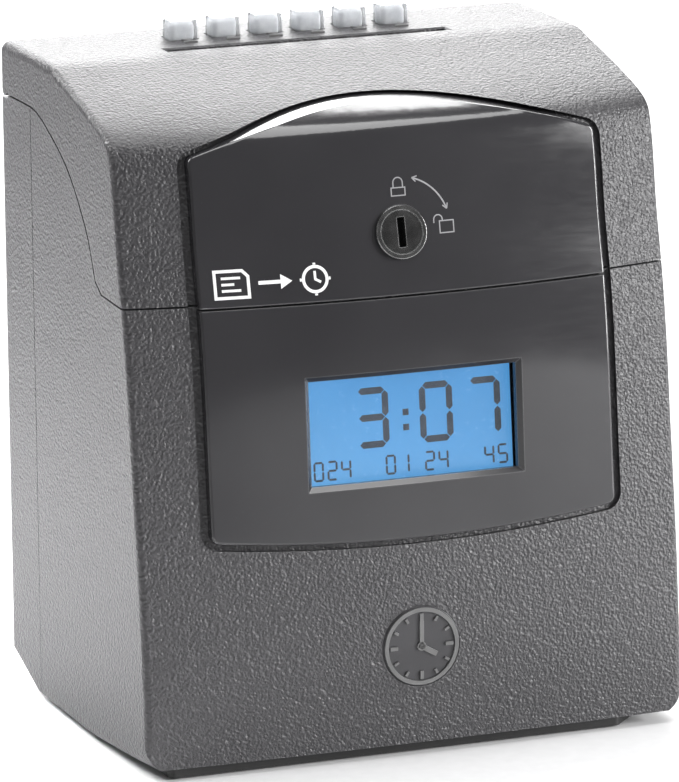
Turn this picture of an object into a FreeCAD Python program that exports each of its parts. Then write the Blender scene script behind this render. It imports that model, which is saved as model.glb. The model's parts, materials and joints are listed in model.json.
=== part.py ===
import FreeCAD, Part
import Sketcher
import math
import os

# Punch time clock: a bowed, upright plastic housing with a hinged hood, a card slot in its top,
# and a card-feed and print mechanism on a steel chassis inside.
# Millimetres. Front faces -Y, +X is to the right seen from the front, +Z is up.
# The origin is the middle of the footprint, on the surface the clock stands on.

V = FreeCAD.Vector
doc = FreeCAD.newDocument("punch_time_clock")
sheet = doc.addObject("Spreadsheet::Sheet", "dims")

DIMENSIONS = [
    # outer body
    ("half_width", 81.3, "half the width of the body"),
    ("top_height", 190.5, "flat top above the table"),
    ("body_bottom", 2.2, "lower edge of the housing sides"),
    ("rear_face", 58.53, "outer face of the rear cover"),
    ("wall", 3.0, "shell thickness"),
    ("bow_seam", 8.7, "forward bow of the front at the hood seam"),
    ("bow_bottom", 2.0, "forward bow of the front at the bottom"),
    ("edge_round", 1.8, "rounding of the upright front edges"),
    ("top_corner", 3.0, "rounding along the top side edges"),
    ("foot_corner", 8.5, "rounding of the cavity's lower corners, added to the wall"),
    ("foot_front", 10.8, "rounding of the lower corners at the front"),
    ("foot_back", 0.8, "rounding of the lower corners behind the middle"),
    ("toe_start", 8.0, "where the lower edge starts to rise, in front of the middle"),
    ("toe_end", 62.0, "front end of the rising lower edge"),
    ("toe_rise", 1.5, "rise of the lower edge at the front"),
    ("heel_rise", 8.3, "height of the slanted rear bottom edge"),
    ("heel_run", 24.0, "depth of the slanted rear bottom edge"),
    ("seam_gap", 0.5, "gap round the hood"),
    ("cover_depth", 24.6, "depth of the rear cover along the sides"),
    ("cover_gap", 0.3, "parting line of the rear cover"),
    # hood hinge
    ("hinge_inset", 2.0, "hinge axis in from the rear face"),
    ("hinge_drop", 13.6, "hinge axis below the top"),
    ("barrel_radius", 1.9, "hinge barrel"),
    ("pin_radius", 0.8, "hinge pin"),
    ("pin_play", 0.05, "running clearance on pins and shafts"),
    ("knuckle_at", 66.0, "middle of each fixed hinge knuckle"),
    ("knuckle_half", 4.0, "half the length of a knuckle"),
    ("knuckle_gap", 0.4, "side gap at a knuckle"),
    ("pin_half", 9.0, "half the length of a hinge pin"),
    # front panels
    ("panel_half", 60.8, "half the width of the glossy panels"),
    ("panel_proud", 1.8, "panel face in front of the housing"),
    ("recess", 1.5, "depth of the panel recess"),
    ("panel_top", 182.1, "top of the panel arch"),
    ("panel_arch", 10.0, "rise of the panel arch"),
    ("panel_split", 131.2, "split between the two panels"),
    ("panel_bottom", 63.0, "lowest point of the lower panel"),
    ("panel_sag", 3.4, "drop of the curved lower edge"),
    ("panel_corner", 2.5, "corner rounding of the panels"),
    ("panel_edge", 0.9, "rounded rim of the panels"),
    ("split_gap", 0.5, "gap between the two panels"),
    ("split_edge", 0.3, "rounded edges at the gap between the panels"),
    ("groove", 2.6, "width of the groove beside the panels"),
    ("groove_top", 0.8, "width of the groove above the arch"),
    ("groove_bottom", 1.8, "width of the groove under the panels"),
    # display
    ("view_half", 32.5, "half the width of the display opening at the panel face"),
    ("view_low", 78.2, "bottom of the display opening"),
    ("view_high", 110.6, "top of the display opening"),
    ("view_lean", 5.4, "lean of the display in degrees"),
    ("view_bevel", 1.4, "bevel round the display opening"),
    ("lens_depth", 110.5, "outer face of the clear window in front of the rear face"),
    ("lens_thick", 1.5, "clear window thickness"),
    ("glass_thick", 2.8, "display cell thickness"),
    ("board_thick", 1.6, "circuit board thickness"),
    # lock
    ("lock_height", 148.6, "lock axis at the hood face"),
    ("lock_lean", 14.4, "lean of the lock axis in degrees"),
    ("lock_side", -1.5, "lock axis from the middle"),
    ("lock_depth", 107.98, "panel face at the lock, in front of the rear face"),
    ("lock_ring", 7.55, "radius of the lock's outer ring"),
    ("ring_proud", 0.7, "lock ring in front of the panel"),
    ("lock_disc", 6.2, "radius of the turning disc"),
    ("disc_proud", 0.5, "turning disc in front of the panel"),
    ("barrel_bore", 5.0, "radius of the lock cylinder bore"),
    ("lock_thread", 6.9, "radius of the lock barrel behind the panel"),
    # top
    ("slot_half", 43.2, "half the length of the card slot"),
    ("slot_middle", 33.1, "card plane in front of the rear face"),
    ("slot_throat", 2.4, "half the width of the card slot"),
    ("slot_bevel", 0.5, "bevel of the card slot"),
    ("key_pitch", 13.0, "spacing of the push buttons"),
    ("key_half", 4.3, "half the width of a push button"),
    ("key_front", 19.4, "front face of the buttons, in front of the rear face"),
    ("key_depth", 7.2, "front-to-back size of a button"),
    ("key_rise", 5.6, "button above the top"),
    ("key_gap", 0.3, "gap round each button"),
    ("key_flange", 1.2, "retaining flange round the button foot"),
    # rear
    ("screw_shank", 1.4, "radius of the case screws"),
    ("screw_head", 2.8, "radius of the case screw heads"),
    ("screw_side", 70.0, "case screws from the middle"),
    ("hook_pitch", 101.6, "spacing of the wall-mounting keyholes"),
    ("hook_height", 138.0, "middle of the keyhole entries"),
    ("hook_entry", 4.2, "radius of the keyhole entry"),
    ("hook_slot", 2.2, "half the width of the keyhole slot"),
    ("inlet_side", 46.0, "power inlet from the middle"),
    ("inlet_height", 24.0, "power inlet above the table"),
    ("inlet_radius", 5.5, "body of the power inlet"),
    ("inlet_hole", 3.2, "hole of the power inlet"),
    # emblem, base and mechanism
    ("emblem_height", 31.8, "middle of the round emblem"),
    ("emblem_radius", 11.6, "emblem disc"),
    ("emblem_depth", 116.4, "emblem seat in front of the rear face"),
    ("vent_height", 66.0, "lowest cooling slot"),
    ("base_half", 74.0, "half the width of the base plate"),
    ("base_front", 55.0, "front edge of the base plate"),
    ("base_rear", 33.2, "rear edge of the base plate"),
    ("base_snip", 12.0, "cut front right corner of the base plate"),
    ("base_top", 4.0, "top of the base plate, in a recess under the housing"),
    ("base_play", 0.4, "gap round the base plate"),
    ("foot_rise", 0.45, "rubber feet below the base plate"),
    ("foot_radius", 6.4, "rubber foot"),
    ("foot_side", 60.0, "rubber feet from the middle"),
    ("floor_top", 7.0, "top of the housing floor"),
    ("plug_half", 65.5, "half the width of the raised pad on the base plate"),
    ("chassis_half", 56.0, "inner face of the chassis side plates"),
    ("sheet_metal", 1.5, "chassis sheet thickness"),
    ("chassis_top", 158.0, "top of the chassis side plates"),
    ("card_gap", 2.8, "half the space between the chute plates"),
    ("chute_sheet", 1.0, "chute plate thickness"),
    ("chute_half", 46.0, "half the width of the chute plates"),
    ("chute_top", 172.0, "top of the chute"),
    ("print_height", 118.0, "printing line"),
    ("feed_height", 86.0, "feed roller axis"),
    ("feed_radius", 7.0, "feed roller"),
    ("pinch_radius", 6.5, "pressure roller"),
    ("shaft_radius", 2.0, "roller shafts"),
    ("rail_radius", 2.5, "carriage rails"),
    ("rail_height", 103.0, "carriage rail axis"),
    ("tooth_module", 0.8, "gear module"),
    ("gear_play", 0.3, "extra centre distance between meshed gears"),
    ("pulley_radius", 6.4, "belt pitch radius"),
    ("pulley_at", 40.0, "belt pulley axes left and right of the middle"),
]


class Dim:
    """A length from the sheet, kept together with the expression that gives it."""

    def __init__(self, value, text):
        self.value = value
        self.text = text

    def join(self, other, sign, value):
        return Dim(value, "(%s %s %s)" % (self.text, sign, as_dim(other).text))

    def __add__(self, other):
        return self.join(other, "+", self.value + as_dim(other).value)

    def __sub__(self, other):
        return self.join(other, "-", self.value - as_dim(other).value)

    def __mul__(self, other):
        return self.join(other, "*", self.value * as_dim(other).value)

    def __truediv__(self, other):
        return self.join(other, "/", self.value / as_dim(other).value)

    def __neg__(self):
        return Dim(-self.value, "(0 - %s)" % self.text)

    def __radd__(self, other):
        return as_dim(other) + self

    def __rsub__(self, other):
        return as_dim(other) - self

    def __rmul__(self, other):
        return self * other


def as_dim(number):
    if isinstance(number, Dim):
        return number
    return Dim(float(number), "%.6g" % number if number >= 0 else "(0 - %.6g)" % -number)


class Sizes:
    """Every aliased cell of the sheet as a Dim."""


d = Sizes()
for row, (alias, value, meaning) in enumerate(DIMENSIONS, 1):
    sheet.set("A%d" % row, alias)
    sheet.set("B%d" % row, str(value))
    sheet.set("C%d" % row, meaning)
    sheet.setAlias("B%d" % row, alias)
    setattr(d, alias, Dim(value, "dims." + alias))
doc.recompute()

kept = []


def keep(obj, node):
    """Mark a finished sub-part; its label names its file."""
    obj.Label = node
    kept.append(obj)
    return obj


def bind(obj, prop, size):
    obj.setExpression(prop, as_dim(size).text)


# ---------------------------------------------------------------- solid primitives and booleans

TURN = {
    "x": FreeCAD.Rotation(V(0, 1, 0), 90),
    "y": FreeCAD.Rotation(V(1, 0, 0), -90),
    "z": FreeCAD.Rotation(),
}


def block(x, y, z):
    obj = doc.addObject("Part::Box", "block")
    for side, axis, (low, high) in (("Length", "x", x), ("Width", "y", y), ("Height", "z", z)):
        bind(obj, side, as_dim(high) - low)
        bind(obj, "Placement.Base." + axis, low)
    return obj


def place_round(obj, axis, start, centre):
    """Stand a round primitive on an axis; centre gives the two other coordinates in order."""
    obj.Placement = FreeCAD.Placement(V(), TURN[axis])
    others = [name for name in "xyz" if name != axis]
    bind(obj, "Placement.Base." + axis, start)
    for name, value in zip(others, centre):
        bind(obj, "Placement.Base." + name, value)
    return obj


def rod(axis, span, centre, radius):
    obj = doc.addObject("Part::Cylinder", "rod")
    bind(obj, "Radius", radius)
    bind(obj, "Height", as_dim(span[1]) - span[0])
    return place_round(obj, axis, span[0], centre)


def join(*parts):
    if len(parts) == 1:
        return parts[0]
    obj = doc.addObject("Part::MultiFuse", "joined")
    obj.Shapes = list(parts)
    return obj


def cut(base, *tools):
    obj = doc.addObject("Part::Cut", "trimmed")
    obj.Base = base
    obj.Tool = join(*tools)
    return obj


def common(*parts):
    obj = doc.addObject("Part::MultiCommon", "shared")
    obj.Shapes = list(parts)
    return obj


def solid(shape, name):
    """A shape the primitives cannot give, such as the bowed shell."""
    obj = doc.addObject("Part::Feature", name)
    obj.Shape = shape
    return obj


def rounded(obj, radius, choose):
    """Round the edges picked by choose(edge)."""
    doc.recompute()
    numbers = [n for n, edge in enumerate(obj.Shape.Edges, 1) if choose(edge)]
    out = doc.addObject("Part::Fillet", "rounded")
    out.Base = obj
    out.Edges = [(n, radius.value, radius.value) for n in numbers]
    return out


def along(axis, low=0.5):
    """Choose straight edges parallel to one axis and longer than low."""
    unit = {"x": V(1, 0, 0), "y": V(0, 1, 0), "z": V(0, 0, 1)}[axis]

    def choose(edge):
        if not isinstance(edge.Curve, Part.Line) or edge.Length < low:
            return False
        return abs(edge.Curve.Direction.dot(unit)) > 0.999

    return choose


def lean(obj, degrees, y, z, x=0):
    """Tip a piece built round the X axis at the origin back by an angle and carry it to its place."""
    if obj.TypeId in ("Part::Box", "Part::Cylinder"):
        held = doc.addObject("Part::Compound", "held")
        held.Links = [obj]
        obj = held
    obj.Placement = FreeCAD.Placement(V(), FreeCAD.Rotation(V(1, 0, 0), -degrees.value))
    for axis, value in zip("xyz", (x, y, z)):
        bind(obj, "Placement.Base." + axis, value)
    return obj


# ---------------------------------------------------------------- sketched bodies

def new_body(node):
    return doc.addObject("PartDesign::Body", node)


def sketch(body, plane, height=0, centre=(0, 0), turn=0.0):
    """Sketch on one of the body's own origin planes, lifted to a height along the world axis."""
    obj = body.newObject("Sketcher::SketchObject", "outline")
    found = [f for f in body.Origin.OriginFeatures if f.Role == plane + "_Plane"]
    obj.AttachmentSupport = [(found[0], "")]
    obj.MapMode = "FlatFace"
    obj.AttachmentOffset = FreeCAD.Placement(V(), FreeCAD.Rotation(V(0, 0, 1), turn))
    lift = -as_dim(height) if plane == "XZ" else height
    bind(obj, "AttachmentOffset.Base.x", centre[0])
    bind(obj, "AttachmentOffset.Base.y", centre[1])
    bind(obj, "AttachmentOffset.Base.z", lift)
    return obj


def fix_point(sk, geometry, point, place):
    for kind, value in zip(("DistanceX", "DistanceY"), place):
        number = sk.addConstraint(
            Sketcher.Constraint(kind, -1, 1, geometry, point, as_dim(value).value))
        sk.setExpression("Constraints[%d]" % number, as_dim(value).text)


def outline(sk, corners):
    """Closed outline of straight sides with every corner held by the sheet."""
    start = sk.GeometryCount
    points = [V(as_dim(u).value, as_dim(v).value, 0) for u, v in corners]
    for n, point in enumerate(points):
        sk.addGeometry(Part.LineSegment(point, points[(n + 1) % len(points)]), False)
    for n in range(len(points)):
        after = start + (n + 1) % len(points)
        sk.addConstraint(Sketcher.Constraint("Coincident", start + n, 2, after, 1))
    for n, place in enumerate(corners):
        fix_point(sk, start + n, 1, place)


def circle(sk, centre, radius):
    number = sk.addGeometry(Part.Circle(V(as_dim(centre[0]).value, as_dim(centre[1]).value, 0),
                                        V(0, 0, 1), as_dim(radius).value), False)
    fix_point(sk, number, 3, centre)
    held = sk.addConstraint(Sketcher.Constraint("Radius", number, as_dim(radius).value))
    sk.setExpression("Constraints[%d]" % held, as_dim(radius).text)


def rect(x, y):
    return [(x[0], y[0]), (x[1], y[0]), (x[1], y[1]), (x[0], y[1])]


def pad(body, sk, length):
    obj = body.newObject("PartDesign::Pad", "pad")
    obj.Profile = sk
    bind(obj, "Length", length)
    return obj


def pocket(body, sk, length):
    obj = body.newObject("PartDesign::Pocket", "pocket")
    obj.Profile = sk
    bind(obj, "Length", length)
    obj.Reversed = True
    return obj


def body_round(body, feature, radius, choose):
    doc.recompute()
    names = ["Edge%d" % n for n, e in enumerate(feature.Shape.Edges, 1) if choose(e)]
    obj = body.newObject("PartDesign::Fillet", "rounding")
    obj.Base = (feature, names)
    bind(obj, "Radius", radius)
    return obj


def plate(node, plane, span, outer, holes=(), windows=(), corner=None):
    """Flat piece with square windows and round holes, its own upright corners rounded."""
    body = new_body(node)
    sk = sketch(body, plane, span[1] if plane == "XZ" else span[0])
    outline(sk, outer)
    for window in windows:
        outline(sk, window)
    for centre, radius in holes:
        circle(sk, centre, radius)
    made = pad(body, sk, as_dim(span[1]) - span[0])
    if corner is not None:
        normal = {"XY": "z", "XZ": "y", "YZ": "x"}[plane]
        body_round(body, made, corner, along(normal))
    return body


def gear(node, span, centre, teeth, bore, phase):
    """Spur gear on an axis along X; a tooth gap points along the phase angle."""
    body = new_body(node)
    pitch = d.tooth_module * (teeth / 2.0)
    tip = pitch + d.tooth_module * 0.9
    root = pitch - d.tooth_module * 1.2
    blank = sketch(body, "YZ", span[0], centre)
    circle(blank, (0, 0), tip)
    circle(blank, (0, 0), bore)
    pad(body, blank, as_dim(span[1]) - span[0])
    space = sketch(body, "YZ", span[0], centre, phase)
    narrow = d.tooth_module * 0.58
    wide = d.tooth_module * 1.36
    outline(space, [(root, -narrow), (tip + 1, -wide), (tip + 1, wide), (root, narrow)])
    gap = pocket(body, space, as_dim(span[1]) - span[0])
    ring = body.newObject("PartDesign::PolarPattern", "teeth")
    ring.Originals = [gap]
    ring.Axis = (space, ["N_Axis"])
    ring.Angle = 360
    ring.Occurrences = teeth
    body.Tip = ring
    return body


# ---------------------------------------------------------------- bowed shell

# Side view of the front: distance in front of the rear face, drop below the top.
FRONT = [
    (36.4, 0.0), (48.0, 1.9), (62.0, 5.2), (77.7, 9.2), (86.3, 12.0), (91.0, 15.0), (93.0, 19.4),
    (97.2, 42.2), (101.0, 59.0), (108.2, 107.7), (111.9, 136.5), (114.4, 165.0), (115.0, 194.0),
]
# Side view of the hood's lower edge, from the rear forwards.
SEAM = [
    (22.0, 14.6), (31.0, 15.5), (41.0, 19.1), (53.0, 24.8), (62.6, 31.9), (69.9, 39.5), (76.0, 49.0),
]
SEAM_TURN = [(78.6, 54.6), (83.5, 57.5), (130.0, 59.2)]
STATIONS = 7


def side_point(depth, drop):
    return V(0, (d.rear_face - depth).value, (d.top_height - drop).value)


def bow_at(z):
    """Forward bow of the front in the middle of the body at a height."""
    seam = (d.top_height - 59.0).value
    part = (z - d.body_bottom.value) / (seam - d.body_bottom.value)
    part = min(max(part, 0.0), 1.0)
    return d.bow_bottom.value + (d.bow_seam.value - d.bow_bottom.value) * part


def front_curve(x, offset):
    """Front of the body at one station across the width, grown outwards by an offset."""
    share = 1.0 - min(abs(x) / d.half_width.value, 1.0) ** 2
    points = [side_point(*place) for place in FRONT]
    top = points[0].z
    for point in points[1:]:
        easing = min((top - point.z) / 14.0, 1.0)
        point.y -= bow_at(point.z) * share * easing
    curve = Part.BSplineCurve()
    curve.interpolate(Points=points, InitialTangent=V(0, -1, 0), FinalTangent=V(0, 0, -1))
    if offset == 0:
        return curve
    moved = []
    for point in points:
        tangent = curve.tangent(curve.parameter(point))[0]
        moved.append(point + V(0, tangent.z, -tangent.y) * offset)
    grown = Part.BSplineCurve()
    grown.interpolate(Points=moved, InitialTangent=V(0, -1, 0), FinalTangent=V(0, 0, -1))
    return grown


def envelope(offset):
    """Solid filling the body's outer skin, grown by an offset (negative for the cavity)."""
    rear = d.rear_face.value + offset
    low = d.body_bottom.value - offset
    heel_z = low + d.heel_rise.value - offset * 0.4
    heel_y = rear - d.heel_run.value - offset * 0.4
    reach = d.half_width.value + offset
    wires = []
    for number in range(STATIONS):
        x = reach * (2.0 * number / (STATIONS - 1) - 1.0)
        curve = front_curve(x, offset)
        upper = curve.value(curve.FirstParameter)
        lower = curve.value(curve.LastParameter)
        corners = [lower, V(0, heel_y, lower.z), V(0, heel_y, low), V(0, rear, heel_z),
                   V(0, rear, upper.z), upper]
        edges = [curve.toShape()]
        edges += [Part.makeLine(a, b) for a, b in zip(corners, corners[1:])]
        wire = Part.Wire(Part.__sortEdges__(edges))
        wire.translate(V(x, 0, 0))
        wires.append(wire)
    return Part.makeLoft(wires, True, False)


def slab(half, span, low, high):
    return Part.makeBox(2 * half, span[1] - span[0], high - low, V(-half, span[0], low))


def lower_edges(shape, low):
    return [e for e in shape.Edges if e.BoundBox.YLength > 100 and abs(e.CenterOfMass.z - low) < 0.01]


def front_rounding(offset):
    """Prism that rounds the corners of the cavity seen from the front."""
    half = d.half_width.value + offset
    low = d.body_bottom.value - offset
    prism = slab(half, (-150, 150), low, d.top_height.value + offset)
    return prism.makeFillet(d.foot_corner.value + offset, lower_edges(prism, low))


def outer_rounding():
    """Prism that rounds the outside: lower corners widen towards the front, upper ones are even."""
    half = d.half_width.value
    low = d.body_bottom.value
    high = d.top_height.value
    start = -d.toe_start.value
    end = -d.toe_end.value
    growth = (d.foot_front.value - d.foot_back.value) / (start - end)
    widest = d.foot_back.value + growth * (start + 150)
    front = slab(half, (-150, start), low, high)
    for edge in lower_edges(front, low):
        ends = (widest, d.foot_back.value)
        if edge.valueAt(edge.FirstParameter).y > edge.valueAt(edge.LastParameter).y:
            ends = ends[::-1]
        front = front.makeFillet(*ends, [e for e in lower_edges(front, low)
                                         if abs(e.CenterOfMass.x - edge.CenterOfMass.x) < 0.01])
    back = slab(half, (start, 150), low, high)
    back = back.makeFillet(d.foot_back.value, lower_edges(back, low))
    prism = front.fuse(back).removeSplitter()
    toe = Part.makePolygon([V(-150, start, low), V(-150, end, low + d.toe_rise.value),
                            V(-150, end, -50), V(-150, start, -50), V(-150, start, low)])
    prism = prism.cut(Part.Face(toe).extrude(V(300, 0, 0)))
    upper = [e for e in prism.Edges if e.BoundBox.YLength > 100 and e.CenterOfMass.z > high - 0.01]
    return prism.makeFillet(d.top_corner.value, upper)


def hood_region(shift):
    """Everything above the hood seam, with the seam lowered by a shift."""
    curve = Part.BSplineCurve()
    low = V(0, shift * 0.6, -shift)
    rear = [side_point(*place) + low for place in SEAM]
    curve.interpolate(Points=rear, InitialTangent=V(0, -1, 0), FinalTangent=V(0, -1, -2.1))
    turn = [rear[-1]] + [side_point(*place) + low for place in SEAM_TURN]
    back = V(0, 120, rear[0].z)
    loop = [rear[0], back, V(0, 120, 260), V(0, turn[-1].y, 260), turn[-1]]
    edges = [curve.toShape()]
    edges += [Part.makeLine(a, b) for a, b in zip(turn, turn[1:])]
    edges += [Part.makeLine(a, b) for a, b in zip(loop, loop[1:])]
    face = Part.Face(Part.Wire(Part.__sortEdges__(edges)))
    face.translate(V(-150, 0, 0))
    return face.extrude(V(300, 0, 0))


def panel_prism(beside, above, under):
    """Front-view outline of the panels, grown: arched above, sagging below, extruded in Y."""
    half = d.panel_half.value + beside
    radius = d.panel_corner.value + beside
    top = d.panel_top.value + above
    arch = Part.Arc(V(-half, 0, top - d.panel_arch.value), V(0, 0, top),
                    V(half, 0, top - d.panel_arch.value))
    bottom = d.panel_bottom.value - under
    sag = Part.Arc(V(-half, 0, bottom + d.panel_sag.value), V(0, 0, bottom),
                   V(half, 0, bottom + d.panel_sag.value))
    sides = [Part.makeLine(arch.EndPoint, sag.EndPoint), Part.makeLine(arch.StartPoint, sag.StartPoint)]
    wire = Part.Wire(Part.__sortEdges__([arch.toShape(), sag.toShape()] + sides))
    face = Part.Face(wire)
    face.translate(V(0, -150, 0))
    prism = face.extrude(V(0, 180, 0))
    corners = [e for e in prism.Edges if abs(e.Length - 180) < 0.01]
    return prism.makeFillet(radius, corners)


def rounded_envelope(offset):
    shape = envelope(offset)
    side = d.half_width.value + offset
    upright = [e for e in shape.Edges if e.BoundBox.ZLength > 100 and e.CenterOfMass.y < 0
               and abs(abs(e.CenterOfMass.x) - side) < 0.05]
    return shape.makeFillet(max(d.edge_round.value + offset, 0.3), upright)


def skin_between(outer_offset, inner_offset):
    """Thin bowed layer between two offsets of the front."""
    return envelope(outer_offset).cut(envelope(inner_offset))


inset = -d.wall.value
room = rounded_envelope(inset).common(front_rounding(inset))
room = room.common(slab(150, (-150, 150), d.floor_top.value, 300))
outer = solid(rounded_envelope(0).common(outer_rounding()), "outer_skin")
cavity = solid(room, "cavity")
base_recess = block((-d.base_half - d.base_play, d.base_half + d.base_play),
                    (-d.base_front - d.base_play, d.base_rear + d.base_play), (-10, d.base_top))
shell = cut(outer, cavity, base_recess)
above_seam = solid(hood_region(0), "above_seam")
above_gap = solid(hood_region(d.seam_gap.value), "above_gap")
recess_layer = skin_between(3.0, -d.recess.value)
recess_outline = panel_prism(d.groove.value, d.groove_top.value, d.groove_bottom.value)
recess = solid(recess_layer.common(recess_outline), "panel_recess")
panel_layer = skin_between(d.panel_proud.value, -d.recess.value)

# ---------------------------------------------------------------- shared positions

rear_in = d.rear_face - d.wall
split_y = d.rear_face - d.cover_depth
hinge_y = d.rear_face - d.hinge_inset
hinge_z = d.top_height - d.hinge_drop
slot_y = d.rear_face - d.slot_middle
key_y = d.rear_face - d.key_front
key_foot = d.top_height - d.wall - d.key_flange - 0.3
wide = (-d.half_width, d.half_width)
lock_seat = (d.lock_lean, d.rear_face - d.lock_depth, d.lock_height, d.lock_side)
lens_y = d.rear_face - d.lens_depth
view_middle = (d.view_low + d.view_high) / 2
SIDES = (-1, 1)
KEYS = [d.key_pitch * (n - 2.5) for n in range(6)]
FAR = 120


def around(centre, half):
    return (as_dim(centre) - half, as_dim(centre) + half)


def mirrored(side, low, high):
    """A span measured outwards from the middle plane, on one side of it."""
    return (low, high) if side > 0 else (-as_dim(high), -as_dim(low))


def cuts(base, *tools):
    for tool in tools:
        base = cut(base, tool)
    return base


# ---------------------------------------------------------------- hood

hinge_line = (hinge_y, hinge_z)
knuckle_spans = [around(d.knuckle_at * side, d.knuckle_half) for side in SIDES]
notches = [rod("x", around(d.knuckle_at * side, d.knuckle_half + d.knuckle_gap), hinge_line,
               d.barrel_radius + 0.4) for side in SIDES]
pin_bores = [rod("x", around(d.knuckle_at * side, d.pin_half + 0.3), hinge_line,
                 d.pin_radius + d.pin_play) for side in SIDES]
hood_face = cut(common(shell, above_seam), recess)
hood_rear = cut(hood_face, block((-FAR, FAR), (hinge_y, FAR), (100, hinge_z)))
barrel = rod("x", wide, hinge_line, d.barrel_radius)
slot_guides = [
    block((-d.slot_half, d.slot_half), (low, low + 1.6), (d.top_height - 17, d.top_height - 2))
    for low in (slot_y - d.slot_throat - 1.6, slot_y + d.slot_throat)]
board_posts = [
    rod("z", (key_foot - 5.7, d.top_height - 2), (side * 42.0, key_y + 3.6), 2.6) for side in SIDES]
hood_solid = join(hood_rear, barrel, *(slot_guides + board_posts))
key_holes = [
    block(around(x, d.key_half + d.key_gap), (key_y - d.key_gap, key_y + d.key_depth + d.key_gap),
          (d.top_height - 5, FAR * 2)) for x in KEYS]
slot_cut = block((-d.slot_half, d.slot_half), around(slot_y, d.slot_throat), (d.top_height - 6, FAR * 2))
lock_hole = lean(rod("y", (-6, 12), (0, 0), d.lock_thread + 0.1), *lock_seat)
post_holes = [
    rod("z", (key_foot - 9, key_foot - 3), (side * 42.0, key_y + 3.6), 0.9) for side in SIDES]
hood_open = cuts(hood_solid, join(*notches), join(*pin_bores), join(*key_holes), slot_cut, lock_hole,
                 join(*post_holes))
doc.recompute()
slot_rim = [n for n, e in enumerate(hood_open.Shape.Edges, 1)
            if e.BoundBox.ZMin > d.top_height.value - 0.01 and e.BoundBox.ZLength < 0.01
            and abs(e.CenterOfMass.y - slot_y.value) < d.slot_throat.value + 0.01
            and abs(e.CenterOfMass.x) < d.slot_half.value + 0.01]
hood = doc.addObject("Part::Chamfer", "hood")
hood.Base = hood_open
hood.Edges = [(n, d.slot_bevel.value, d.slot_bevel.value) for n in slot_rim]
keep(hood, "hood")

# ---------------------------------------------------------------- lower housing

below_seam = cut(shell, above_gap)
housing_skin = cut(below_seam, block((-FAR, FAR), (split_y - d.cover_gap / 2, FAR), (-10, 200)))
side_bosses = []
for side in SIDES:
    for height in (24.0, 158.0):
        side_bosses.append(block(mirrored(side, d.screw_side - 4.5, d.half_width - 1),
                                 (split_y - 10, split_y - 0.2), around(height, 4.5)))
base_bosses = [
    rod("z", (d.floor_top - 1, d.floor_top + 8), (side * d.screw_side, y), 4.0)
    for side in SIDES for y in (-26.0, 14.0)]
catch_bar = lean(block((-4, 4), (4.6, 15.4), (-19.5, -17.1)), *lock_seat)
housing_solid = join(cut(housing_skin, recess), *(side_bosses + base_bosses + [catch_bar]))
window_cut = lean(block((-36.3, 36.3), (-12, 12), (-19.3, 19.3)), d.view_lean, lens_y, view_middle)
floor_cut = block((-d.plug_half - 0.4, d.plug_half + 0.4), (-42.0, 30.4), (0, d.floor_top + 1))
emblem_cut = rod("y", (-FAR, d.rear_face - d.emblem_depth), (0, d.emblem_height), d.emblem_radius + 0.1)
case_bores = [
    rod("y", (split_y - 9, split_y + 1), (side * d.screw_side, z), d.screw_shank)
    for side in SIDES for z in (24.0, 158.0)]
base_bores = [
    rod("z", (0, d.floor_top + 6), (side * d.screw_side, y), d.screw_shank)
    for side in SIDES for y in (-26.0, 14.0)]
keep(cuts(housing_solid, window_cut, floor_cut, emblem_cut, join(*case_bores), join(*base_bores)),
     "lower_housing")

# ---------------------------------------------------------------- rear cover

cover_skin = cut(below_seam, block((-FAR, FAR), (-FAR, split_y + d.cover_gap / 2), (-10, 200)))
cover_low = cut(cover_skin, block((-FAR, FAR), (hinge_y - 2.7, FAR), (hinge_z - 2.5, 200)))
pillars = []
for side in SIDES:
    for height in (24.0, 158.0):
        pillars.append(block(mirrored(side, d.screw_side - 4.5, d.half_width - 1),
                             (split_y + 0.2, rear_in + 1), around(height, 4.5)))
knuckles = [rod("x", span, hinge_line, d.barrel_radius) for span in knuckle_spans]
necks = [block(span, around(hinge_y, 1.5), (hinge_z - 6, hinge_z)) for span in knuckle_spans]
main_y = rear_in - 11
board_stands = [rod("y", (main_y + d.board_thick, rear_in + 1), (x, z), as_dim(2.6))
                for x in (-46.0, 30.0) for z in (24.0, 80.0)]
cover_solid = join(cover_low, *(pillars + knuckles + necks + board_stands))
pin_seats = [rod("x", span, hinge_line, d.pin_radius) for span in knuckle_spans]
screw_ways = [
    rod("y", (split_y - 1, FAR), (side * d.screw_side, z), d.screw_shank + 0.2)
    for side in SIDES for z in (24.0, 158.0)]
head_ways = [
    rod("y", (d.rear_face - 5, FAR), (side * d.screw_side, z), d.screw_head + 0.3)
    for side in SIDES for z in (24.0, 158.0)]
hooks = []
for side in SIDES:
    middle = d.hook_pitch / 2 * side
    hooks.append(rod("y", (rear_in - 2, FAR), (middle, d.hook_height), d.hook_entry))
    hooks.append(block(around(middle, d.hook_slot), (rear_in - 2, FAR),
                       (d.hook_height, d.hook_height + 8)))
    hooks.append(rod("y", (rear_in - 2, FAR), (middle, d.hook_height + 8), d.hook_slot))
vents = [
    block(around(side * 26.0, 15.0), (rear_in - 2, FAR), around(d.vent_height + 7.0 * n, 1.25))
    for side in SIDES for n in range(5)]
inlet_way = rod("y", (rear_in - 2, FAR), (d.inlet_side, d.inlet_height), d.inlet_radius)
keep(cuts(cover_solid, join(*pin_seats), join(*screw_ways), join(*head_ways), join(*hooks),
          join(*vents), inlet_way), "rear_cover")
keep(join(*[rod("x", around(d.knuckle_at * side, d.pin_half), hinge_line, d.pin_radius)
            for side in SIDES]), "hinge_pins")


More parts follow.
